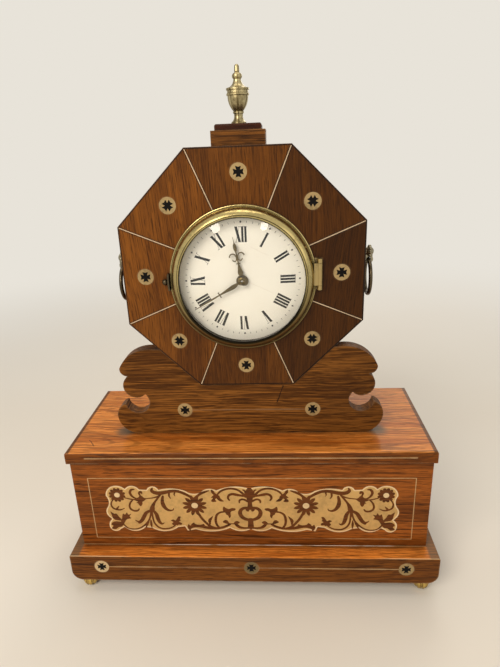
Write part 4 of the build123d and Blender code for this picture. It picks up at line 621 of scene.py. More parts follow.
def stretch(left, right, low, high, soft, depth, broken=False):
    """A stretch of the front between two places across and two levels, whole or broken by gaps."""

    def mask(sheet):
        at = sheet.place()
        x, _, z = sheet.parts(at)
        across = sheet.product(sheet.span(x, left, left + soft), sheet.span(x, right, right - soft))
        if broken:
            gaps = sheet.noise(sheet.times(at, 45, 0, 0), detail=1.0)
            across = sheet.product(across, sheet.span(gaps, 0.36, 0.5))
        level = sheet.product(sheet.span(z, low - 0.0004, low), sheet.span(z, high + 0.0004, high))
        return sheet.product(across, level, depth)

    return mask


def worn_edge_highlight(node, beyond, width, depth):
    """The rubbed front edge of a board's top, with a painted highlight on it, outside a distance from the
    middle.
    """
    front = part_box(node)[0].y

    def mask(sheet):
        x, y, _ = sheet.parts(sheet.place())
        edge = sheet.span(y, front + width, front + 0.5 * width, 0.0, depth)
        outer = sheet.span(sheet.math("ABSOLUTE", x), beyond, beyond + 0.02)
        return sheet.product(edge, outer, facing_up(sheet))

    return mask


def foot_shadows(node, inward, behind, reach, depth):
    """Two painted shadows on top of a board beside the ends of the piece that stands on it."""
    low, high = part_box(node)

    def mask(sheet):
        x, y, _ = sheet.parts(sheet.place())
        across = sheet.math("SUBTRACT", sheet.math("ABSOLUTE", x), high.x - inward)
        off = sheet.reach(across, sheet.math("SUBTRACT", y, low.y + behind), 0.0)
        return sheet.product(sheet.span(off, reach, 0.3 * reach, 0.0, depth), facing_up(sheet))

    return mask


def both(*masks):
    """Where all of the given masks hold."""

    def mask(sheet):
        return sheet.product(*(other(sheet) for other in masks))

    return mask


def either(*masks):
    """Where one of the given masks holds."""

    def mask(sheet):
        return sheet.most(*(other(sheet) for other in masks))

    return mask


def dress(material, *names):
    for name in names:
        for slot in NODES[name].material_slots:
            slot.material = material


# Mesh work


def piece(name, bm, material, body):
    """Turns a bmesh into a piece of the clock that rides on a body."""
    bmesh.ops.recalc_face_normals(bm, faces=bm.faces)
    mesh = bpy.data.meshes.new(name)
    bm.to_mesh(mesh)
    bm.free()
    mesh.materials.append(material)
    made = bpy.data.objects.new(name, mesh)
    bpy.context.scene.collection.objects.link(made)
    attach(made, body)


def slab(bm, left, right, front, back):
    """A thin closed strip between two rows of points; front and back give a point's depth."""
    rows = []
    for depth in (front, back):
        rows.append([[bm.verts.new(depth(point)) for point in side] for side in (left, right)])
    (fl, fr), (bl, br) = rows
    for k in range(len(left) - 1):
        bm.faces.new((fl[k], fl[k + 1], fr[k + 1], fr[k]))
        bm.faces.new((bl[k], br[k], br[k + 1], bl[k + 1]))
        bm.faces.new((fl[k], bl[k], bl[k + 1], fl[k + 1]))
        bm.faces.new((fr[k], fr[k + 1], br[k + 1], br[k]))
    bm.faces.new((fl[0], fr[0], br[0], bl[0]))
    bm.faces.new((fl[-1], bl[-1], br[-1], fr[-1]))


def disc(bm, middle, ring, front, back):
    """A thin closed plate from a ring of points about a middle that sees all of them."""
    heads = [bm.verts.new(front(point)) for point in ring]
    tails = [bm.verts.new(back(point)) for point in ring]
    head = bm.verts.new(front(middle))
    tail = bm.verts.new(back(middle))
    for k in range(len(ring)):
        n = (k + 1) % len(ring)
        bm.faces.new((head, heads[k], heads[n]))
        bm.faces.new((tail, tails[n], tails[k]))
        bm.faces.new((heads[k], tails[k], tails[n], heads[n]))


def curve_between(a, b, c, d, steps):
    """Points on a smooth curve from b towards c, with a before them and d after."""
    made = []
    for n in range(steps):
        t = n / steps
        bend = (2 * a - 5 * b + 4 * c - d) * t**2 + (3 * b - a - 3 * c + d) * t**3
        made.append(0.5 * (2 * b + (c - a) * t + bend))
    return made


def smooth_line(points, steps=7):
    """Points with widths along a smooth curve through the given (x, z, width) points."""
    rows = []
    ends = [Vector(point) for point in (points[0], *points, points[-1])]
    for k in range(1, len(ends) - 2):
        rows += curve_between(*ends[k - 1 : k + 3], steps)
    return [*rows, ends[-1]]


def smooth_ring(points, steps=3):
    """A closed smooth curve through the given points."""
    made = []
    for k in range(len(points)):
        made += curve_between(*(Vector(points[(k + n) % len(points)]) for n in (-1, 0, 1, 2)), steps)
    return made


# Rounded end of a ribbon: steps out as shares of its half width, with the share of the width that is left
CAPS = ((0.7, math.sqrt(0.51)), (1.0, 0.25))


def ribbon_sides(points):
    """The two sides of a tapering stroke, its ends rounded."""
    rows = smooth_line(points)
    left, right = [], []

    def cross(here, side):
        left.append(here + side)
        right.append(here - side)

    for k, row in enumerate(rows):
        before, after = rows[max(k - 1, 0)], rows[min(k + 1, len(rows) - 1)]
        way = Vector((after.x - before.x, after.y - before.y)).normalized()
        side = Vector((-way.y, way.x)) * row.z / 2
        tip = way * row.z / 2
        here = Vector((row.x, row.y))
        if k == 0:
            for out, share in reversed(CAPS):
                cross(here - tip * out, side * share)
        cross(here, side)
        if k == len(rows) - 1:
            for out, share in CAPS:
                cross(here + tip * out, side * share)
    return left, right


# Foliage panel, in millimetres: distance from the middle line, height above the foot of the panel, and width
STEMS = (
    ((115.1, 37.9, 1.1), (110.4, 36.5, 1.3), (105.8, 35.9, 1.3), (99.2, 36.6, 1.1), (93.5, 37.2, 1.1),
     (87.8, 38.1, 1.3), (83.0, 39.9, 1.9)),
    ((103.1, 36.5, 1.3), (106.5, 38.1, 1.7), (108.8, 40.7, 2.2), (109.7, 43.8, 2.4), (108.1, 46.7, 2.2),
     (105.6, 47.1, 1.3)),
    ((107.7, 35.9, 1.3), (110.4, 32.6, 1.7), (111.7, 28.9, 1.9), (111.0, 25.5, 2.0), (108.2, 23.5, 2.0),
     (104.9, 23.5, 1.9), (103.1, 25.4, 1.3)),
    ((126.6, 35.6, 1.1), (128.7, 31.5, 1.5), (128.1, 27.3, 1.7), (125.0, 25.0, 1.7), (120.8, 24.4, 1.5),
     (116.8, 26.1, 0.7)),
    ((125.0, 25.0, 1.3), (123.4, 26.4, 1.9), (121.7, 28.7, 0.6)),
    ((88.5, 48.4, 1.3), (89.3, 45.9, 3.1), (86.8, 43.6, 3.7), (81.8, 43.0, 3.9), (76.2, 44.1, 3.5),
     (70.5, 45.4, 3.3), (65.0, 45.0, 3.1), (59.7, 42.6, 2.8), (54.5, 39.1, 2.4), (51.9, 36.1, 1.9)),
    ((73.5, 42.7, 1.9), (73.8, 39.9, 1.7), (72.4, 37.1, 0.6)),
    ((68.4, 43.4, 1.7), (68.9, 41.3, 1.1), (68.1, 39.7, 0.4)),
    ((82.0, 41.0, 1.9), (85.2, 36.6, 1.9), (87.9, 32.7, 2.2), (90.0, 28.5, 3.7), (90.8, 25.4, 4.6),
     (92.2, 22.9, 3.7)),
    ((92.6, 23.7, 2.6), (96.8, 21.1, 3.3), (99.3, 16.9, 3.7), (101.8, 12.6, 3.5), (104.4, 10.1, 3.0)),
    ((104.0, 10.5, 2.2), (106.3, 11.4, 1.5), (108.1, 12.8, 0.6)),
    ((89.4, 23.1, 2.6), (87.4, 19.2, 3.5), (86.5, 14.6, 3.7), (85.2, 10.6, 3.1), (83.1, 8.6, 1.9),
     (81.1, 9.7, 0.7)),
    ((92.1, 22.2, 2.0), (93.3, 17.4, 1.7), (95.4, 12.3, 1.7), (99.1, 7.7, 1.7), (102.7, 4.7, 1.5),
     (106.8, 2.8, 1.3), (111.6, 2.3, 1.3), (115.8, 3.5, 1.3), (118.8, 6.4, 1.5), (119.7, 8.1, 1.1)),
    ((91.4, 22.0, 1.9), (91.2, 16.3, 1.7), (90.3, 10.0, 1.7), (87.4, 5.3, 1.7), (82.9, 3.0, 1.7),
     (77.2, 3.3, 1.5), (72.7, 5.4, 1.3), (69.6, 8.4, 1.3)),
    ((95.4, 11.1, 1.3), (97.5, 7.3, 2.0), (98.8, 4.3, 0.7)),
    ((93.3, 12.9, 1.1), (93.4, 8.3, 2.2), (93.2, 4.3, 0.7)),
    ((79.6, 39.4, 2.2), (80.5, 34.9, 3.1), (80.1, 30.1, 3.9), (77.9, 26.0, 3.1), (74.8, 23.9, 2.2),
     (71.7, 24.3, 1.3), (70.6, 26.1, 0.7)),
    ((48.0, 20.5, 2.4), (45.1, 14.8, 2.4), (41.3, 9.7, 2.4), (37.3, 5.6, 2.6), (32.7, 3.8, 2.4)),
    ((37.9, 8.6, 1.5), (38.0, 12.6, 3.0), (36.1, 15.7, 1.7), (34.9, 17.5, 0.6)),
    ((29.4, 4.3, 1.9), (31.7, 8.1, 2.2), (32.4, 13.2, 2.4), (31.1, 18.9, 2.2), (27.9, 21.7, 1.9),
     (24.2, 22.5, 1.7)),
    ((29.6, 41.1, 1.5), (26.1, 45.2, 2.0), (21.0, 47.6, 2.2), (15.6, 48.1, 2.2), (10.2, 46.3, 2.0),
     (6.3, 42.8, 2.2), (3.7, 39.0, 1.9)),
    ((50.9, 37.2, 2.2), (48.2, 39.4, 2.4), (45.1, 42.2, 2.6), (40.8, 44.4, 2.4), (37.1, 45.7, 1.1)),
    ((18.6, 35.4, 1.6), (19.8, 37.8, 2.0), (18.6, 40.8, 2.4), (15.6, 42.1, 2.6), (12.0, 41.4, 2.8),
     (8.2, 40.6, 2.3), (4.6, 39.9, 1.9)),
    ((9.5, 32.8, 1.3), (9.4, 34.8, 1.9), (7.7, 36.2, 2.0), (5.2, 36.1, 2.0), (2.1, 34.3, 2.3)),
    ((0.3, 38.4, 5.6), (0.3, 36.2, 4.6), (0.2, 33.5, 3.7), (0.1, 30.7, 3.9), (0.2, 27.4, 4.6)),
    ((0.3, 26.3, 3.2), (2.8, 26.8, 3.1), (6.1, 26.5, 3.0), (8.4, 24.6, 3.2), (9.4, 21.8, 3.7),
     (8.7, 18.4, 3.8), (6.5, 15.6, 3.5), (3.3, 14.0, 3.1), (0.6, 13.6, 2.8)),
    ((2.7, 25.2, 3.2), (2.2, 24.2, 2.8)),
    ((0.5, 13.4, 4.2), (0.5, 10.0, 4.1), (0.6, 5.4, 4.6)),
    ((0.6, 4.5, 2.3), (3.7, 4.2, 2.0), (7.4, 4.3, 2.2), (10.7, 5.3, 2.8), (12.9, 7.3, 3.0),
     (14.2, 9.0, 2.3)),
    ((14.5, 9.9, 2.3), (12.8, 10.5, 3.7), (11.4, 10.5, 2.3)),
    ((14.2, 9.0, 1.6), (17.0, 9.0, 1.1), (20.3, 9.2, 1.2), (22.5, 10.4, 2.8)),
    ((21.2, 9.8, 2.3), (23.0, 11.3, 4.0), (24.4, 11.2, 2.8)),
)
# Cut leaves: their outlines
SHAPES = (
    ((119.8, 7.5), (118.1, 10.7), (115.8, 13.7), (111.8, 14.8), (113.1, 16.9), (111.2, 19.9),
     (114.0, 19.0), (115.2, 21.5), (117.2, 18.9), (119.0, 20.2), (120.2, 16.4), (120.9, 13.6),
     (123.4, 16.9), (125.1, 20.0), (127.5, 20.0), (130.6, 22.5), (129.8, 18.4), (129.2, 15.0),
     (126.8, 12.8), (122.3, 12.0), (122.4, 10.9), (126.8, 11.3), (130.4, 9.9), (131.5, 7.3),
     (129.8, 6.0), (131.9, 2.9), (127.9, 2.2), (124.8, 4.6), (122.0, 5.1)),
    ((106.7, 35.9), (103.9, 37.7), (102.2, 38.5), (101.4, 40.4), (102.4, 42.6), (101.5, 44.8),
     (99.1, 45.4), (98.0, 43.2), (99.0, 42.1), (100.1, 43.0), (100.1, 41.0), (98.8, 39.7), (97.2, 37.9),
     (94.5, 37.0), (96.0, 35.9), (97.6, 34.3), (99.1, 33.4), (99.3, 31.0), (101.0, 28.5), (102.6, 29.9),
     (103.5, 31.9), (104.8, 32.3), (103.4, 33.8), (105.0, 34.5)),
    ((69.7, 7.3), (72.5, 7.0), (73.8, 9.0), (72.2, 10.7), (74.6, 12.4), (72.0, 13.6), (70.2, 12.4),
     (68.6, 14.7), (67.0, 17.0), (64.8, 16.7), (65.8, 14.2), (65.2, 12.4), (67.0, 11.3), (64.3, 9.4),
     (65.2, 7.5), (67.3, 7.8), (68.8, 6.7)),
    ((58.3, 8.2), (56.5, 6.8), (55.4, 8.5), (53.0, 10.2), (51.7, 8.5), (47.5, 7.6), (43.7, 8.8),
     (42.9, 6.8), (38.2, 5.6), (30.8, 5.0), (25.1, 6.6), (20.3, 8.9), (18.5, 7.8), (24.3, 4.3),
     (30.9, 2.6), (40.3, 2.8), (47.7, 4.6), (52.4, 4.6), (55.8, 3.2), (57.0, 0.8), (58.7, 2.9),
     (59.4, 5.5)),
    ((24.7, 22.5), (25.1, 26.2), (24.1, 28.4), (22.3, 26.8), (19.4, 25.7), (16.6, 26.8), (13.2, 25.9),
     (14.4, 24.0), (17.0, 23.2), (18.3, 21.2), (18.0, 17.8), (19.5, 15.5), (20.7, 18.4), (22.3, 19.5),
     (22.9, 21.2)),
    ((34.7, 47.1), (32.5, 45.5), (31.3, 43.3), (29.4, 41.6), (27.4, 40.0), (26.6, 37.3), (23.6, 34.3),
     (26.8, 34.0), (29.0, 35.6), (30.3, 37.3), (31.7, 36.2), (30.5, 34.0), (34.2, 33.4), (35.3, 35.0),
     (33.4, 37.8), (35.3, 38.0), (33.8, 40.0), (32.8, 41.1), (34.7, 43.8)),
    ((0.0, 48.3), (2.0, 48.1), (3.4, 46.0), (5.2, 47.2), (6.6, 46.6), (4.8, 44.9), (4.5, 42.2),
     (3.7, 39.5), (2.4, 37.9), (0.0, 37.3)),
)
# Flowers: middle, reach, petals, depth of the gaps, pointed or round
FLOWERS = (
    ((122.0, 41.0), 7.8, 12, 0.24, False),
    ((50.9, 29.5), 11.6, 12, 0.44, True),
)
EYES = (((122.0, 41.0), 2.6), ((50.9, 29.5), 3.0))


def cut_shape(bm, ring, front, back):
    """A thin closed plate with any simple outline."""
    heads = [bm.verts.new(front(point)) for point in ring]
    tails = [bm.verts.new(back(point)) for point in ring]
    for a, b, c in tessellate_polygon([[Vector((*point, 0)) for point in ring]]):
        bm.faces.new((heads[a], heads[b], heads[c]))
        bm.faces.new((tails[c], tails[b], tails[a]))
    for k in range(len(ring)):
        n = (k + 1) % len(ring)
        bm.faces.new((heads[k], heads[n], tails[n], tails[k]))


def flower_ring(middle, reach, petals, gap, pointed):
    ring = []
    steps = petals * 10
    for k in range(steps):
        turn = 2 * math.pi * k / steps
        share = abs((k % 10) / 5 - 1)
        fall = 0.5 * (share + share**3) if pointed else share**3
        radius = reach * (1 - gap * fall)
        ring.append(Vector((middle[0] + radius * math.cos(turn), middle[1] + radius * math.sin(turn))))
    return ring


def draw_stem(bm, points, front, back):
    slab(bm, *ribbon_sides(points), front, back)


def draw_leaf(bm, outline, front, back):
    cut_shape(bm, smooth_ring(outline), front, back)


def draw_flower(bm, flower, front, back):
    disc(bm, Vector(flower[0]), flower_ring(*flower), front, back)


def on_panel(side, low, depth):
    """Places points of the foliage drawing on one side of the panel, at a depth."""

    def at(point):
        return (side * point[0] * MM, depth, low.z + point[1] * MM)

    return at


def panel_outline():
    """The rim of the panel's front face, in order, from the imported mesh."""
    mesh = NODES["box_inlay"].data
    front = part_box("box_inlay")[0].y
    seen = {}
    for face in mesh.polygons:
        if face.normal.y > -0.99 or abs(face.center.y - front) > 1e-5:
            continue
        keys = [(round(mesh.vertices[i].co.x, 6), round(mesh.vertices[i].co.z, 6)) for i in face.vertices]
        for a, b in zip(keys, keys[1:] + keys[:1]):
            seen[(a, b)] = seen.get((a, b), 0) + 1
    rim = {a: b for (a, b) in seen if (b, a) not in seen}
    start = next(iter(rim))
    loop = [start]
    while rim[loop[-1]] != start:
        loop.append(rim[loop[-1]])
    return [Vector(point) for point in loop]


def offset_loop(loop, width):
    """The loop drawn in by a width."""
    area = sum(a.x * b.y - b.x * a.y for a, b in zip(loop, loop[1:] + loop[:1]))
    sign = 1 if area > 0 else -1
    inner = []
    for k, here in enumerate(loop):
        way = (loop[(k + 2) % len(loop)] - loop[k - 2]).normalized()
        inner.append(here + Vector((-way.y, way.x)) * width * sign)
    return inner


def even_loop(loop, step):
    """The loop with points an even step apart."""
    made, carry = [], 0.0
    for a, b in zip(loop, loop[1:] + loop[:1]):
        run = (b - a).length
        while carry < run:
            made.append(a.lerp(b, carry / run))
            carry += step
        carry -= run
    return made


# Operators


class CLOCK_OT_case(bpy.types.Operator):
    """Veneer the octagon and polish the cap and the rear door"""

    bl_idname = "clock.case"
    bl_label = "Octagonal case"

    def execute(self, context):
        front = wood("case_veneer", CASE_TONES, "segments", 0.35, fine=0.5)
        sides = wood("case_sides", CASE_TONES, "y", seed=3.1)
        cap = wood("case_cap", SADDLE_TONES, "x", 1.2, fine=1.1, seed=5.7)
        slab_wood = wood("case_slab", ("slab_light", "slab_dark", "saddle_streak"), "x", 1.0, seed=2.9)
        door = wood("case_door", CASE_TONES, "z", seed=7.9)
        dress(front, "case_front")
        dress(sides, "case_hoop")
        dress(cap, "cap_block")
        dress(slab_wood, "cap_slab")
        dress(door, "back_door")
        return {"FINISHED"}


# Ends of two marks of age, in metres: across and below the saddle's top, across and behind the lid's front
SADDLE_CRACK = ((0.0320, 0.0362), (0.0263, 0.0542))
LID_SCRATCH = ((-0.1475, 0.0223), (-0.1400, 0.0113))
MARK_WIDTH = 0.0008


class CLOCK_OT_base(bpy.types.Operator):
    """Polish the saddle, lid, box and plinth"""

    bl_idname = "clock.base"
    bl_label = "Saddle and base"

    def execute(self, context):
        saddle_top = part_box("saddle_front")[1].z
        lid_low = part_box("lid_board")[0]
        ledge_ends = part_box("plinth_rails")[1].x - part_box("box_front")[1].x
        crack = hairline(*((x, saddle_top - down) for x, down in SADDLE_CRACK), MARK_WIDTH, UP, 0.9)
        scratch = hairline(*((x, lid_low.y + behind) for x, behind in LID_SCRATCH), MARK_WIDTH, BACK, 0.7)
        # The saddle darkens towards its right end: painted shade.
        shade_on_right = ramp(ACROSS, clean=0.0, dark=0.13, depth=0.32)
        lid_ends = dark_ends("lid_board", width=0.0045, depth=0.75)
        # Painted shadows on the lid beside the saddle's ends.
        saddle_shadows = foot_shadows("saddle_front", inward=0.004, behind=0.004, reach=0.013, depth=0.75)
        # A painted shadow on the box front under the lid's overhang.
        shadow_under_lid = ramp(UP, clean=lid_low.z - 0.0055, dark=lid_low.z - 0.0015, depth=0.55)
        saddle = wood(
            "saddle_wood",
            SADDLE_TONES,
            "x",
            0.4,
            fine=1.1,
            seed=1.3,
            gloss=0.02,
            dull=0.16,
            corner=0.005,
            marks=[(crack, "ebony"), (shade_on_right, "saddle_streak")],
        )
        lid = wood(
            "lid_wood",
            ("lid_edge", "lid_edge_dark", "base_streak"),
            "x",
            0.6,
            0.32,
            fine=0.7,
            seed=2.2,
            gloss=0.17,
            wear_and_sheen=0.2,
            top=("lit_lid_light", "lit_lid_dark"),
            marks=[(lid_ends, "ebony"), (scratch, "ebony"), (saddle_shadows, "bronze")],
        )
        box = wood("box_wood", BASE_TONES, "x", 0.9, 0.12, seed=4.4, wear_and_sheen=0.04, marks=[(shadow_under_lid, "ebony")])
        sides = wood("box_end_wood", BASE_TONES, "y", seed=6.1, wear_and_sheen=0.04)
        plinth = wood(
            "plinth_wood",
            ("plinth_light", "plinth_dark", "base_streak"),
            "x",
            0.7,
            fine=0.9,
            seed=8.3,
            wear_and_sheen=0.25,
            top=("lit_ledge", "lit_ledge_dark"),
            marks=[
                # Painted shade along the foot of the box.
                (foot_shade(width=0.0012, soft=0.0026, depth=0.45), "ebony"),
                # The dark ends of the plinth's top are a painted reflection.
                (dark_ends("plinth_rails", width=1.15 * ledge_ends, depth=0.75), "bronze"),
                # A painted highlight along the rubbed front edge of the plinth's top.
                (worn_edge_highlight("plinth_rails", beyond=0.108, width=0.0011, depth=0.55), "border"),
            ],
        )
        inside_tones = ("carcass", "saddle_light", "saddle_dark")
        inside = wood("carcass_wood", inside_tones, "x", 0.3, seed=9.6, gloss=0.0)
        dress(saddle, "saddle_front")
        dress(lid, "lid_board")
        dress(box, "box_front", "box_back")
        dress(sides, "box_sides")
        dress(plinth, "plinth_rails")
        dress(inside, "saddle_block", "plinth_bottom")
        return {"FINISHED"}


# How much higher each piece of foliage lies than the one before, so that no two faces share a plane
LAYER_STEP = 2e-7
# Distance between the points of the panel's border, in metres
BORDER_STEP = 0.9 * MM


class CLOCK_OT_inlay(bpy.types.Operator):
    """Lay in the lines, the roundels and the panel with its foliage"""

    bl_idname = "clock.inlay"
    bl_label = "Brass inlay and foliage"

    def execute(self, context):
        lid_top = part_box("lid_board")[1].z
        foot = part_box("box_front")[0].z
        soil_and_shade = either(
            ramp(UP, clean=lid_top, dark=lid_top + 0.005, depth=0.75),
            stretch(-0.105, 0.085, foot + 0.0075, foot + 0.0095, soft=0.02, depth=0.92),
            stretch(-0.105, 0.055, 0.0, foot - 0.002, soft=0.035, depth=0.8),
        )
        # A broken white line on the brass string at the foot of the box: painted highlight.
        foot_highlight = stretch(-0.088, 0.135, foot, foot + 0.0009, soft=0.01, depth=0.95, broken=True)
        dull_ring = stretch(-0.012, 0.012, 0.0, foot, soft=0.002, depth=0.7)
        bright_ring = stretch(-0.152, -0.13, 0.0, foot, soft=0.002, depth=0.6)
        lines = metal("inlay_lines", "case_line", "tarnish", 0.4, 0.3, metallic=0.4)
        base_lines = metal(
            "inlay_base_lines",
            "inlay",
            "foliage",
            0.4,
            0.3,
            0.0003,
            metallic=0.4,
            soil_and_shade=soil_and_shade,
            marks=[(foot_highlight, "enamel")],
        )
        ground = metal("inlay_ground", "ground", "tarnish", 0.3, 0.28, metallic=0.6)
        edge = metal("inlay_border", "border", "inlay", 0.4, 0.28, metallic=0.5)
        black = wood("inlay_ebony", ("paint", "ebony", "ebony"), "x", 0.2, gloss=0.03, wear_and_sheen=0.0)
        leaf_tones = ("foliage", "base_dark", "base_streak")
        leaf = wood("foliage_wood", leaf_tones, "x", 0.7, seed=5.5, gloss=0.15, wear_and_sheen=0.0)
        rings = metal(
            "inlay_rings",
            "roundel",
            "tarnish",
            0.6,
            0.28,
            metallic=0.6,
            soil_and_shade=dull_ring,
            marks=[(bright_ring, "border")],
        )
        dress(lines, "case_strings")
        dress(base_lines, "base_strings")
        dress(rings, "inlay_roundels")
        dress(black, "inlay_crosses")
        dress(ground, "box_inlay")
        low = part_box("box_inlay")[0]
        self.border(low, edge)
        self.foliage(low, leaf)
        self.eyes(low, edge)
        return {"FINISHED"}

    def border(self, low, material):
        outer = even_loop(panel_outline(), BORDER_STEP)
        inner = offset_loop(outer, sizes().border_width)
        rise = sizes().foliage_rise
        front, back = low.y - rise * 0.7, low.y + rise
        bm = bmesh.new()
        rows = []
        for loop, depth in ((outer, front), (inner, front), (inner, back), (outer, back)):
            rows.append([bm.verts.new((p.x, depth, p.y)) for p in loop])
        for k in range(len(outer)):
            n = (k + 1) % len(outer)
            for a in range(4):
                b = (a + 1) % 4
                bm.faces.new((rows[a][k], rows[b][k], rows[b][n], rows[a][n]))
        piece("panel_border", bm, material, "case")

    def foliage(self, low, material):
        rise = sizes().foliage_rise
        bm = bmesh.new()
        layer = 0
        for side in (-1, 1):
            back = on_panel(side, low, low.y + rise)
            for draw, forms in ((draw_stem, STEMS), (draw_leaf, SHAPES), (draw_flower, FLOWERS)):
                for form in forms:
                    draw(bm, form, on_panel(side, low, low.y - rise - layer * LAYER_STEP), back)
                    layer += 1
        piece("foliage_inlay", bm, material, "case")

    def eyes(self, low, material):
        bm = bmesh.new()
        for side in (-1, 1):
            front = on_panel(side, low, low.y - 2.2 * sizes().foliage_rise)
            back = on_panel(side, low, low.y)
            for middle, radius in EYES:
                draw_flower(bm, (middle, radius, 4, 0.0, False), front, back)
        piece("flower_eyes", bm, material, "case")


class CLOCK_OT_mounts(bpy.types.Operator):
    """Gild the finial and feet and darken the handles"""

    bl_idname = "clock.mounts"
    bl_label = "Finial, feet and handles"

    def execute(self, context):
        gilt = metal("mount_gilt", "foot_gilt", "tarnish", 0.5, 0.13, 0.003, metallic=0.85)
        urn = metal("urn_brass", "urn", "tarnish", 0.8, 0.26, 0.005, soil_and_shade=streaks_down("finial", 0.9))
        dark = metal("handle_bronze", "bronze", "ebony", 0.6, 0.22, 0.003)
        boss = metal("boss_bronze", "boss", "ebony", 0.6, 0.2, 0.0015)
        dress(gilt, "feet")
        dress(urn, "finial")
        dress(dark, "handle_ring_left", "handle_ring_right", "bezel_thumb_piece")
        dress(boss, "handle_bosses")
        return {"FINISHED"}


class CLOCK_OT_bezel(bpy.types.Operator):
    """Polish the bezel and the hinges and fit the glasses"""

    bl_idname = "clock.bezel"
    bl_label = "Bezel, hinges and glass"

    def execute(self, context):
        low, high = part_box("bezel_ring")
        middle = (low.z + high.z) / 2
        # The bezel darkens towards the bottom: painted dark reflection.
        soil_and_shade = ramp(UP, clean=middle + 0.03, dark=middle - 0.045, depth=0.8)
        lower_half = ramp(UP, clean=middle + 0.002, dark=middle - 0.03, depth=1.0)
        # Painted shadow in the gap inside the bezel, wider along its lower half.
        gap = inner_edge_shadow("bezel_ring", width=0.0011, depth=0.9)
        low_shadow = both(inner_edge_shadow("bezel_ring", width=0.0034, depth=0.92), lower_half)
        marks = [(low_shadow, "ebony"), (gap, "ebony")]
        brass = metal("bezel_brass", "brass", "tarnish", 0.5, 0.14, 0.004, soil_and_shade=soil_and_shade, marks=marks)
        leaves = metal("hinge_brass", "gilt", "bronze", 0.9, 0.28, 0.003)
        # The retainer is darkened to stand in for the shade inside the bezel: painted shade.
        inner = metal("retainer_shade_dark", "bronze", "ebony", 0.8, 0.3)
        dress(brass, "bezel_ring")
        dress(leaves, "bezel_hinge_leaf", "fixed_hinge_leaves", "door_hinge_leaf", "door_knob")
        dress(inner, "glass_retainer")
        pin = metal("hinge_steel", "steel", "bronze", 0.4, 0.2)
        dress(pin, "hinge_pins")
        dress(self.glass(), "bezel_glass", "door_glass")
        return {"FINISHED"}

    def glass(self):
        sheet, shader, material = finish_material(
            "clear_glass", transmission_weight=1.0, roughness=0.02, ior=1.45, base_color=rgba("glass")
        )
        ripple = sheet.noise(sheet.place(), detail=1.0, scale=40.0)
        bump(sheet, shader, ripple, 0.03, 0.0004)
        blend(sheet, sheet.rays("Shadow", "Diffuse"), shader, sheet.add("ShaderNodeBsdfTransparent"))
        return material


NUMERALS = ("XII", "I", "II", "III", "IIII", "V", "VI", "VII", "VIII", "IX", "X", "XI")
# Fall of the enamel from its crown to its edge, in metres
DIAL_FALL = 4.0 * MM
# Hairlines in the enamel: their ends across and up from the middle of the dial, in metres
DIAL_CRACKS = (
    ((0.0070, 0.0273), (0.0235, 0.0190)),
    ((0.0060, -0.0020), (0.0260, -0.0120)),
)
DIAL_CRACK_WIDTH = 0.0004


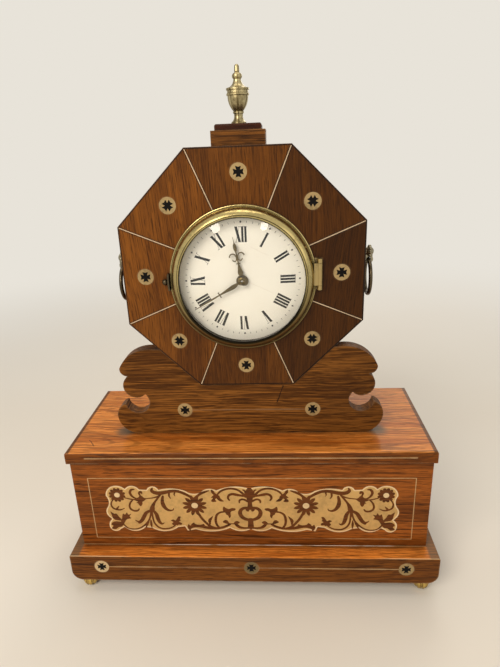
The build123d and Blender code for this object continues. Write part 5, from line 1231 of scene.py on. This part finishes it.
class CLOCK_OT_dial(bpy.types.Operator):
    """Enamel the dial, paint its numerals and minutes and gild the hands"""

    bl_idname = "clock.dial"
    bl_label = "Dial and hands"

    def execute(self, context):
        dress(self.enamel(), "dial")
        hands = metal("hand_gilt", "hands", "ebony", 0.5, 0.25, 0.0015)
        dress(hands, "hour_hand", "minute_hand", "hand_collet")
        low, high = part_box("dial")
        self.middle = ((low.x + high.x) / 2, (low.z + high.z) / 2)
        self.crown = low.y
        reach = (high.x - low.x) / 2
        self.ball = (reach**2 + DIAL_FALL**2) / (2 * DIAL_FALL)
        paint = self.paint()
        bm = bmesh.new()
        for hour, word in enumerate(NUMERALS):
            self.numeral(bm, word, math.radians(30 * hour))
        piece("dial_numerals", bm, paint, "case")
        bm = bmesh.new()
        ring, half = sizes().minute_ring, sizes().minute_mark / 2
        for minute in range(60):
            turn = math.radians(6 * minute)
            if minute % 5:
                self.stroke(bm, turn, (0, 0), (ring - half, ring + half), sizes().minute_width, 0.5)
            else:
                self.lozenge(bm, turn)
        piece("dial_minutes", bm, paint, "case")
        return {"FINISHED"}

    def paint(self):
        polish = {"coat_weight": 0.05, "coat_roughness": 0.1, "specular_ior_level": 0.2}
        sheet, shader, material = finish_material("dial_paint", **polish)
        cloud = sheet.noise(sheet.place(), detail=3.0, scale=900.0)
        thin = sheet.span(cloud, 0.6, 0.75, 0, 0.25)
        sheet.put(shader.inputs["Base Color"], sheet.mix(thin, rgba("paint"), rgba("ebony")))
        sheet.put(shader.inputs["Roughness"], sheet.span(cloud, 0.3, 0.7, 0.18, 0.3))
        return material

    def enamel(self):
        sheet, shader, material = finish_material("dial_enamel", coat_weight=0.5, coat_roughness=0.04)
        at = sheet.place()
        cloud = sheet.noise(at, detail=3.0, scale=30.0)
        speck = sheet.noise(at, detail=2.0, scale=1500.0)
        shade = sheet.mix(sheet.span(cloud, 0.35, 0.7, 0.0, 0.10), rgba("enamel"), rgba("inlay"))
        shade = sheet.mix(sheet.span(speck, 0.74, 0.80, 0.0, 0.35), shade, rgba("tarnish"))
        low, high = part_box("dial")
        z = (low.z + high.z) / 2
        for crack in DIAL_CRACKS:
            mark = hairline(*((x, z + up) for x, up in crack), DIAL_CRACK_WIDTH, UP, 0.28)
            shade = sheet.mix(mark(sheet), shade, rgba("carcass"))
        sheet.put(shader.inputs["Base Color"], shade)
        sheet.put(shader.inputs["Roughness"], sheet.span(cloud, 0.3, 0.7, 0.16, 0.24))
        bump(sheet, shader, sheet.noise(at, detail=1.0, scale=90.0), 0.05, 0.0002)
        return material

    def on_dial(self, turn, across, out, lift):
        """A point on the enamel: an angle from twelve, a step across it and a reach out from the middle."""
        x = math.sin(turn) * out + math.cos(turn) * across
        z = math.cos(turn) * out - math.sin(turn) * across
        depth = self.crown + self.ball - math.sqrt(self.ball**2 - x**2 - z**2)
        return (self.middle[0] + x, depth - lift, self.middle[1] + z)

    def lifted(self, turn, lift):
        """Places points of a mark on the enamel, at an angle from twelve and a lift above it."""

        def at(point):
            return self.on_dial(turn, *point, lift)

        return at

    def stroke(self, bm, turn, across, out, width, lift, steps=5):
        """A painted stroke from one reach to another, of a constant width across the dial."""
        left, right = [], []
        for k in range(steps + 1):
            t = k / steps
            reach = out[0] + (out[1] - out[0]) * t
            step = across[0] + (across[1] - across[0]) * t
            left.append((step - width / 2, reach))
            right.append((step + width / 2, reach))
        rise = sizes().enamel_rise
        slab(bm, left, right, self.lifted(turn, rise * lift), self.lifted(turn, -rise))

    def lozenge(self, bm, turn):
        half, middle, rise = sizes().hour_dot, sizes().minute_ring, sizes().enamel_rise
        ring = [(half * x, middle + 1.25 * half * y) for x, y in ((1, 0), (0, 1), (-1, 0), (0, -1))]
        disc(bm, (0, middle), ring, self.lifted(turn, rise), self.lifted(turn, -rise))

    def numeral(self, bm, word, turn):
        size = sizes()
        foot, head = size.numeral_foot, size.numeral_head
        thick, hair, pitch = size.numeral_stroke, size.numeral_hair, size.numeral_pitch
        wide = {"I": pitch, "V": 2.0 * pitch, "X": 2.05 * pitch}
        run = -sum(wide[letter] for letter in word) / 2
        for letter in word:
            middle = run + wide[letter] / 2
            half = wide[letter] / 2 - 0.42 * pitch
            if letter == "I":
                self.stroke(bm, turn, (middle, middle), (foot, head), thick, 1.0)
                serifs = [(middle, foot), (middle, head)]
            elif letter == "V":
                self.stroke(bm, turn, (middle, middle - half), (foot, head), 1.15 * thick, 0.96)
                self.stroke(bm, turn, (middle + 0.3 * thick, middle + half), (foot, head), hair, 0.9)
                serifs = [(middle - half, head), (middle + half, head)]
            else:
                self.stroke(bm, turn, (middle + half, middle - half), (foot, head), 1.2 * thick, 0.96)
                self.stroke(bm, turn, (middle - half, middle + half), (foot, head), hair, 0.9)
                serifs = [(middle + side * half, end) for side in (-1, 1) for end in (foot, head)]
            for at, end in serifs:
                edge = (foot, foot + hair) if end == foot else (head - hair, head)
                self.stroke(bm, turn, (at, at), edge, 0.94 * pitch, 0.8, steps=1)
            run += wide[letter]


class CLOCK_OT_movement(bpy.types.Operator):
    """Finish the plates, wheels, arbors, spring and pendulum"""

    bl_idname = "clock.movement"
    bl_label = "Movement"

    def execute(self, context):
        plates = metal("plate_brass", "brass", "tarnish", 0.35, 0.26, 0.003)
        wheels = metal("wheel_brass", "gilt", "tarnish", 0.25, 0.2, 0.0015)
        steel = metal("arbor_steel", "steel", "bronze", 0.3, 0.2, 0.0015)
        spring = metal("spring_steel", "spring", "ebony", 0.3, 0.22, 0.001)
        dress(plates, "dial_plate", "dial_pillars", "front_plate", "back_plate", "plate_pillars")
        dress(plates, "back_cock", "pendulum_bob")
        dress(wheels, "barrel", "centre_wheel", "third_wheel", "escape_wheel", "minute_wheel", "hour_wheel")
        dress(steel, "cannon_pinion", "centre_arbor", "third_arbor", "escape_arbor", "barrel_arbor")
        dress(steel, "ratchet_wheel", "click", "anchor", "pendulum_rod")
        dress(spring, "mainspring")
        return {"FINISHED"}


# Hinge screws: spacing as a share of the leaf, slants of the slots, and points round half a head
SCREW_SPACING = 0.33
SCREW_SLANTS = (0.5, 1.9, 1.1)
HEAD_POINTS = 13
# Thickness of a hinge leaf, and places of the screws from the outer edge of each leaf, in metres
LEAF_THICKNESS = 1.2 * MM
DOOR_SCREW_INSET = 6.2 * MM
CASE_SCREW_INSET = 3.1 * MM


class CLOCK_OT_screws(bpy.types.Operator):
    """Drive slotted screws through the leaves of the rear hinge"""

    bl_idname = "clock.screws"
    bl_label = "Hinge screws"

    def execute(self, context):
        steel = metal("screw_steel", "steel", "bronze", 0.5, 0.24, 0.001)
        low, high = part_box("door_hinge_leaf")
        middle = (low.z + high.z) / 2
        step = SCREW_SPACING * (high.z - low.z)
        face = low.y + LEAF_THICKNESS
        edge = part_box("fixed_hinge_leaves")[1].x
        rows = (
            ("door_screws", low.x + DOOR_SCREW_INSET, "rear_door"),
            ("case_screws", edge - CASE_SCREW_INSET, "case"),
        )
        for name, x, body in rows:
            bm = bmesh.new()
            for k, slant in enumerate(SCREW_SLANTS):
                self.head(bm, x, face, middle + (k - 1) * step, slant)
            piece(name, bm, steel, body)
        return {"FINISHED"}

    def head(self, bm, x, y, z, slant):
        """Two half heads with the slot between them, on a thin washer of the shank."""
        radius = sizes().screw_head
        gap = 0.16 * radius
        levels = ((1.0, -0.2), (1.0, 0.22), (0.82, 0.42))
        for side in (0, math.pi):
            rows = []
            for share, rise in levels:
                ring = []
                for k in range(HEAD_POINTS):
                    turn = math.radians(-80 + 160 * k / (HEAD_POINTS - 1))
                    u = max(radius * share * math.cos(turn), gap)
                    v = radius * share * math.sin(turn)
                    c, s = math.cos(slant + side), math.sin(slant + side)
                    ring.append(bm.verts.new((x + u * c - v * s, y + rise * radius, z + u * s + v * c)))
                rows.append(ring)
            for a, b in zip(rows, rows[1:]):
                for k in range(HEAD_POINTS):
                    n = (k + 1) % HEAD_POINTS
                    bm.faces.new((a[k], a[n], b[n], b[k]))
            bm.faces.new(rows[0])
            bm.faces.new(rows[-1])


# Lamps: name, place in metres, the power they take, their share of it, and their width
LAMPS = (
    ("key_light", (-0.55, -1.05, 1.0), "key", 1.0, 0.85),
    ("fill_light", (1.15, -0.95, 0.75), "fill", 1.0, 1.1),
    ("top_light", (0.0, 0.15, 1.5), "top", 1.0, 0.9),
    ("rear_light", (0.4, 1.4, 1.0), "rear", 1.0, 1.0),
    ("left_glint", (-0.403, -1.25, 0.665), "glint", 1.0, 0.12),
    ("right_glint", (0.21, -1.32, 0.675), "glint", 0.5, 0.09),
)
LAMP_AIM = Vector((0, 0, 0.23))
LAMP_TINT = (255, 244, 228)
# Camera: place in metres, turns in radians, focal length in millimetres
CAMERA_PLACE = (0.03016, -0.4341, 0.39285)
CAMERA_TURNS = (-0.063, -0.348, -0.039)
CAMERA_LENS = 27.39
# Rays for which floor and surround show as a plain pale backdrop
SEEN_RAYS = ("Camera", "Glossy", "Transmission")


class CLOCK_OT_stage(bpy.types.Operator):
    """Lay the floor, light the clock and set the camera"""

    bl_idname = "clock.stage"
    bl_label = "Stage, light and camera"

    def execute(self, context):
        self.floor()
        self.world(context)
        for name, where, setting, share, width in LAMPS:
            self.lamp(name, where, share * getattr(context.scene.clock_light, setting), width)
        self.camera(context)
        context.scene.view_settings.view_transform = "Standard"
        return {"FINISHED"}

    def floor(self):
        half = sizes().floor_size
        bm = bmesh.new()
        corners = [bm.verts.new((x * half, y * half, 0)) for x, y in ((-1, -1), (1, -1), (1, 1), (-1, 1))]
        bm.faces.new(corners)
        mesh = bpy.data.meshes.new("studio_floor")
        bm.to_mesh(mesh)
        bm.free()
        sheet, shader, material = finish_material("studio_floor", roughness=0.6, specular_ior_level=0.2)
        at = sheet.place()
        soft = sheet.noise(at, detail=2.0, scale=3.0)
        tone = sheet.mix(sheet.span(soft, 0.3, 0.7, 0, 0.06), rgba("floor"), rgba("inlay"))
        sheet.put(shader.inputs["Base Color"], tone)
        far = sheet.add("ShaderNodeVectorMath", {0: at}, operation="LENGTH").outputs["Value"]
        share = sheet.math("MULTIPLY", sheet.rays(*SEEN_RAYS), sheet.span(far, 0.35, 1.5))
        blend(sheet, share, shader, sheet.add("ShaderNodeEmission", {"Color": rgba("backdrop")}))
        mesh.materials.append(material)
        made = bpy.data.objects.new("studio_floor", mesh)
        bpy.context.scene.collection.objects.link(made)

    def world(self, context):
        world = bpy.data.worlds.new("studio_world")
        context.scene.world = world
        world.use_nodes = True
        sheet = Sheet(world.node_tree)
        background = world.node_tree.nodes["Background"]
        background.inputs["Color"].default_value = rgba("backdrop")
        strength = sheet.span(sheet.rays(*SEEN_RAYS), 0.0, 1.0, context.scene.clock_light.world, 1.0)
        sheet.put(background.inputs["Strength"], strength)

    def lamp(self, name, where, power, width):
        light = bpy.data.lights.new(name, "AREA")
        light.energy = power
        light.shape = "DISK"
        light.size = width
        light.color = linear(*LAMP_TINT)
        made = bpy.data.objects.new(name, light)
        made.location = where
        aim = LAMP_AIM - Vector(where)
        made.rotation_euler = aim.to_track_quat("-Z", "Y").to_euler()
        bpy.context.scene.collection.objects.link(made)

    def camera(self, context):
        yaw, pitch, roll = CAMERA_TURNS
        ahead = Vector((math.sin(yaw) * math.cos(pitch), math.cos(yaw) * math.cos(pitch), math.sin(pitch)))
        right = Vector((math.cos(yaw), -math.sin(yaw), 0))
        up = right.cross(ahead)
        across = right * math.cos(roll) + up * math.sin(roll)
        upward = up * math.cos(roll) - right * math.sin(roll)
        data = bpy.data.cameras.new("photo_camera")
        data.sensor_fit = "AUTO"
        data.sensor_width = 36.0
        data.lens = CAMERA_LENS
        data.clip_start = 0.01
        made = bpy.data.objects.new("photo_camera", data)
        turn = Matrix((across, upward, -ahead)).transposed().to_4x4()
        made.matrix_world = Matrix.Translation(CAMERA_PLACE) @ turn
        context.scene.collection.objects.link(made)
        context.scene.camera = made


OPERATORS = (
    CLOCK_OT_case,
    CLOCK_OT_base,
    CLOCK_OT_inlay,
    CLOCK_OT_mounts,
    CLOCK_OT_bezel,
    CLOCK_OT_dial,
    CLOCK_OT_movement,
    CLOCK_OT_screws,
    CLOCK_OT_stage,
)


class CLOCK_PT_panel(bpy.types.Panel):
    """Sizes, colours and the steps that dress the clock"""

    bl_idname = "CLOCK_PT_panel"
    bl_label = "Mantel Clock"
    bl_space_type = "VIEW_3D"
    bl_region_type = "UI"
    bl_category = "Clock"

    def draw(self, context):
        for operator in OPERATORS:
            self.layout.operator(operator.bl_idname)
        for settings in (context.scene.clock_sizes, context.scene.clock_colours, context.scene.clock_light):
            column = self.layout.column()
            for name in settings.__annotations__:
                column.prop(settings, name)


CLASSES = (ClockSizes, ClockColours, ClockLight, *OPERATORS, CLOCK_PT_panel)


def register():
    for item in CLASSES:
        bpy.utils.register_class(item)
    bpy.types.Scene.clock_sizes = PointerProperty(type=ClockSizes)
    bpy.types.Scene.clock_colours = PointerProperty(type=ClockColours)
    bpy.types.Scene.clock_light = PointerProperty(type=ClockLight)


def unregister():
    del bpy.types.Scene.clock_light
    del bpy.types.Scene.clock_colours
    del bpy.types.Scene.clock_sizes
    for item in reversed(CLASSES):
        bpy.utils.unregister_class(item)


def main():
    register()
    for operator in OPERATORS:
        family, name = operator.bl_idname.split(".")
        getattr(getattr(bpy.ops, family), name)()


if __name__ == "__main__":
    main()
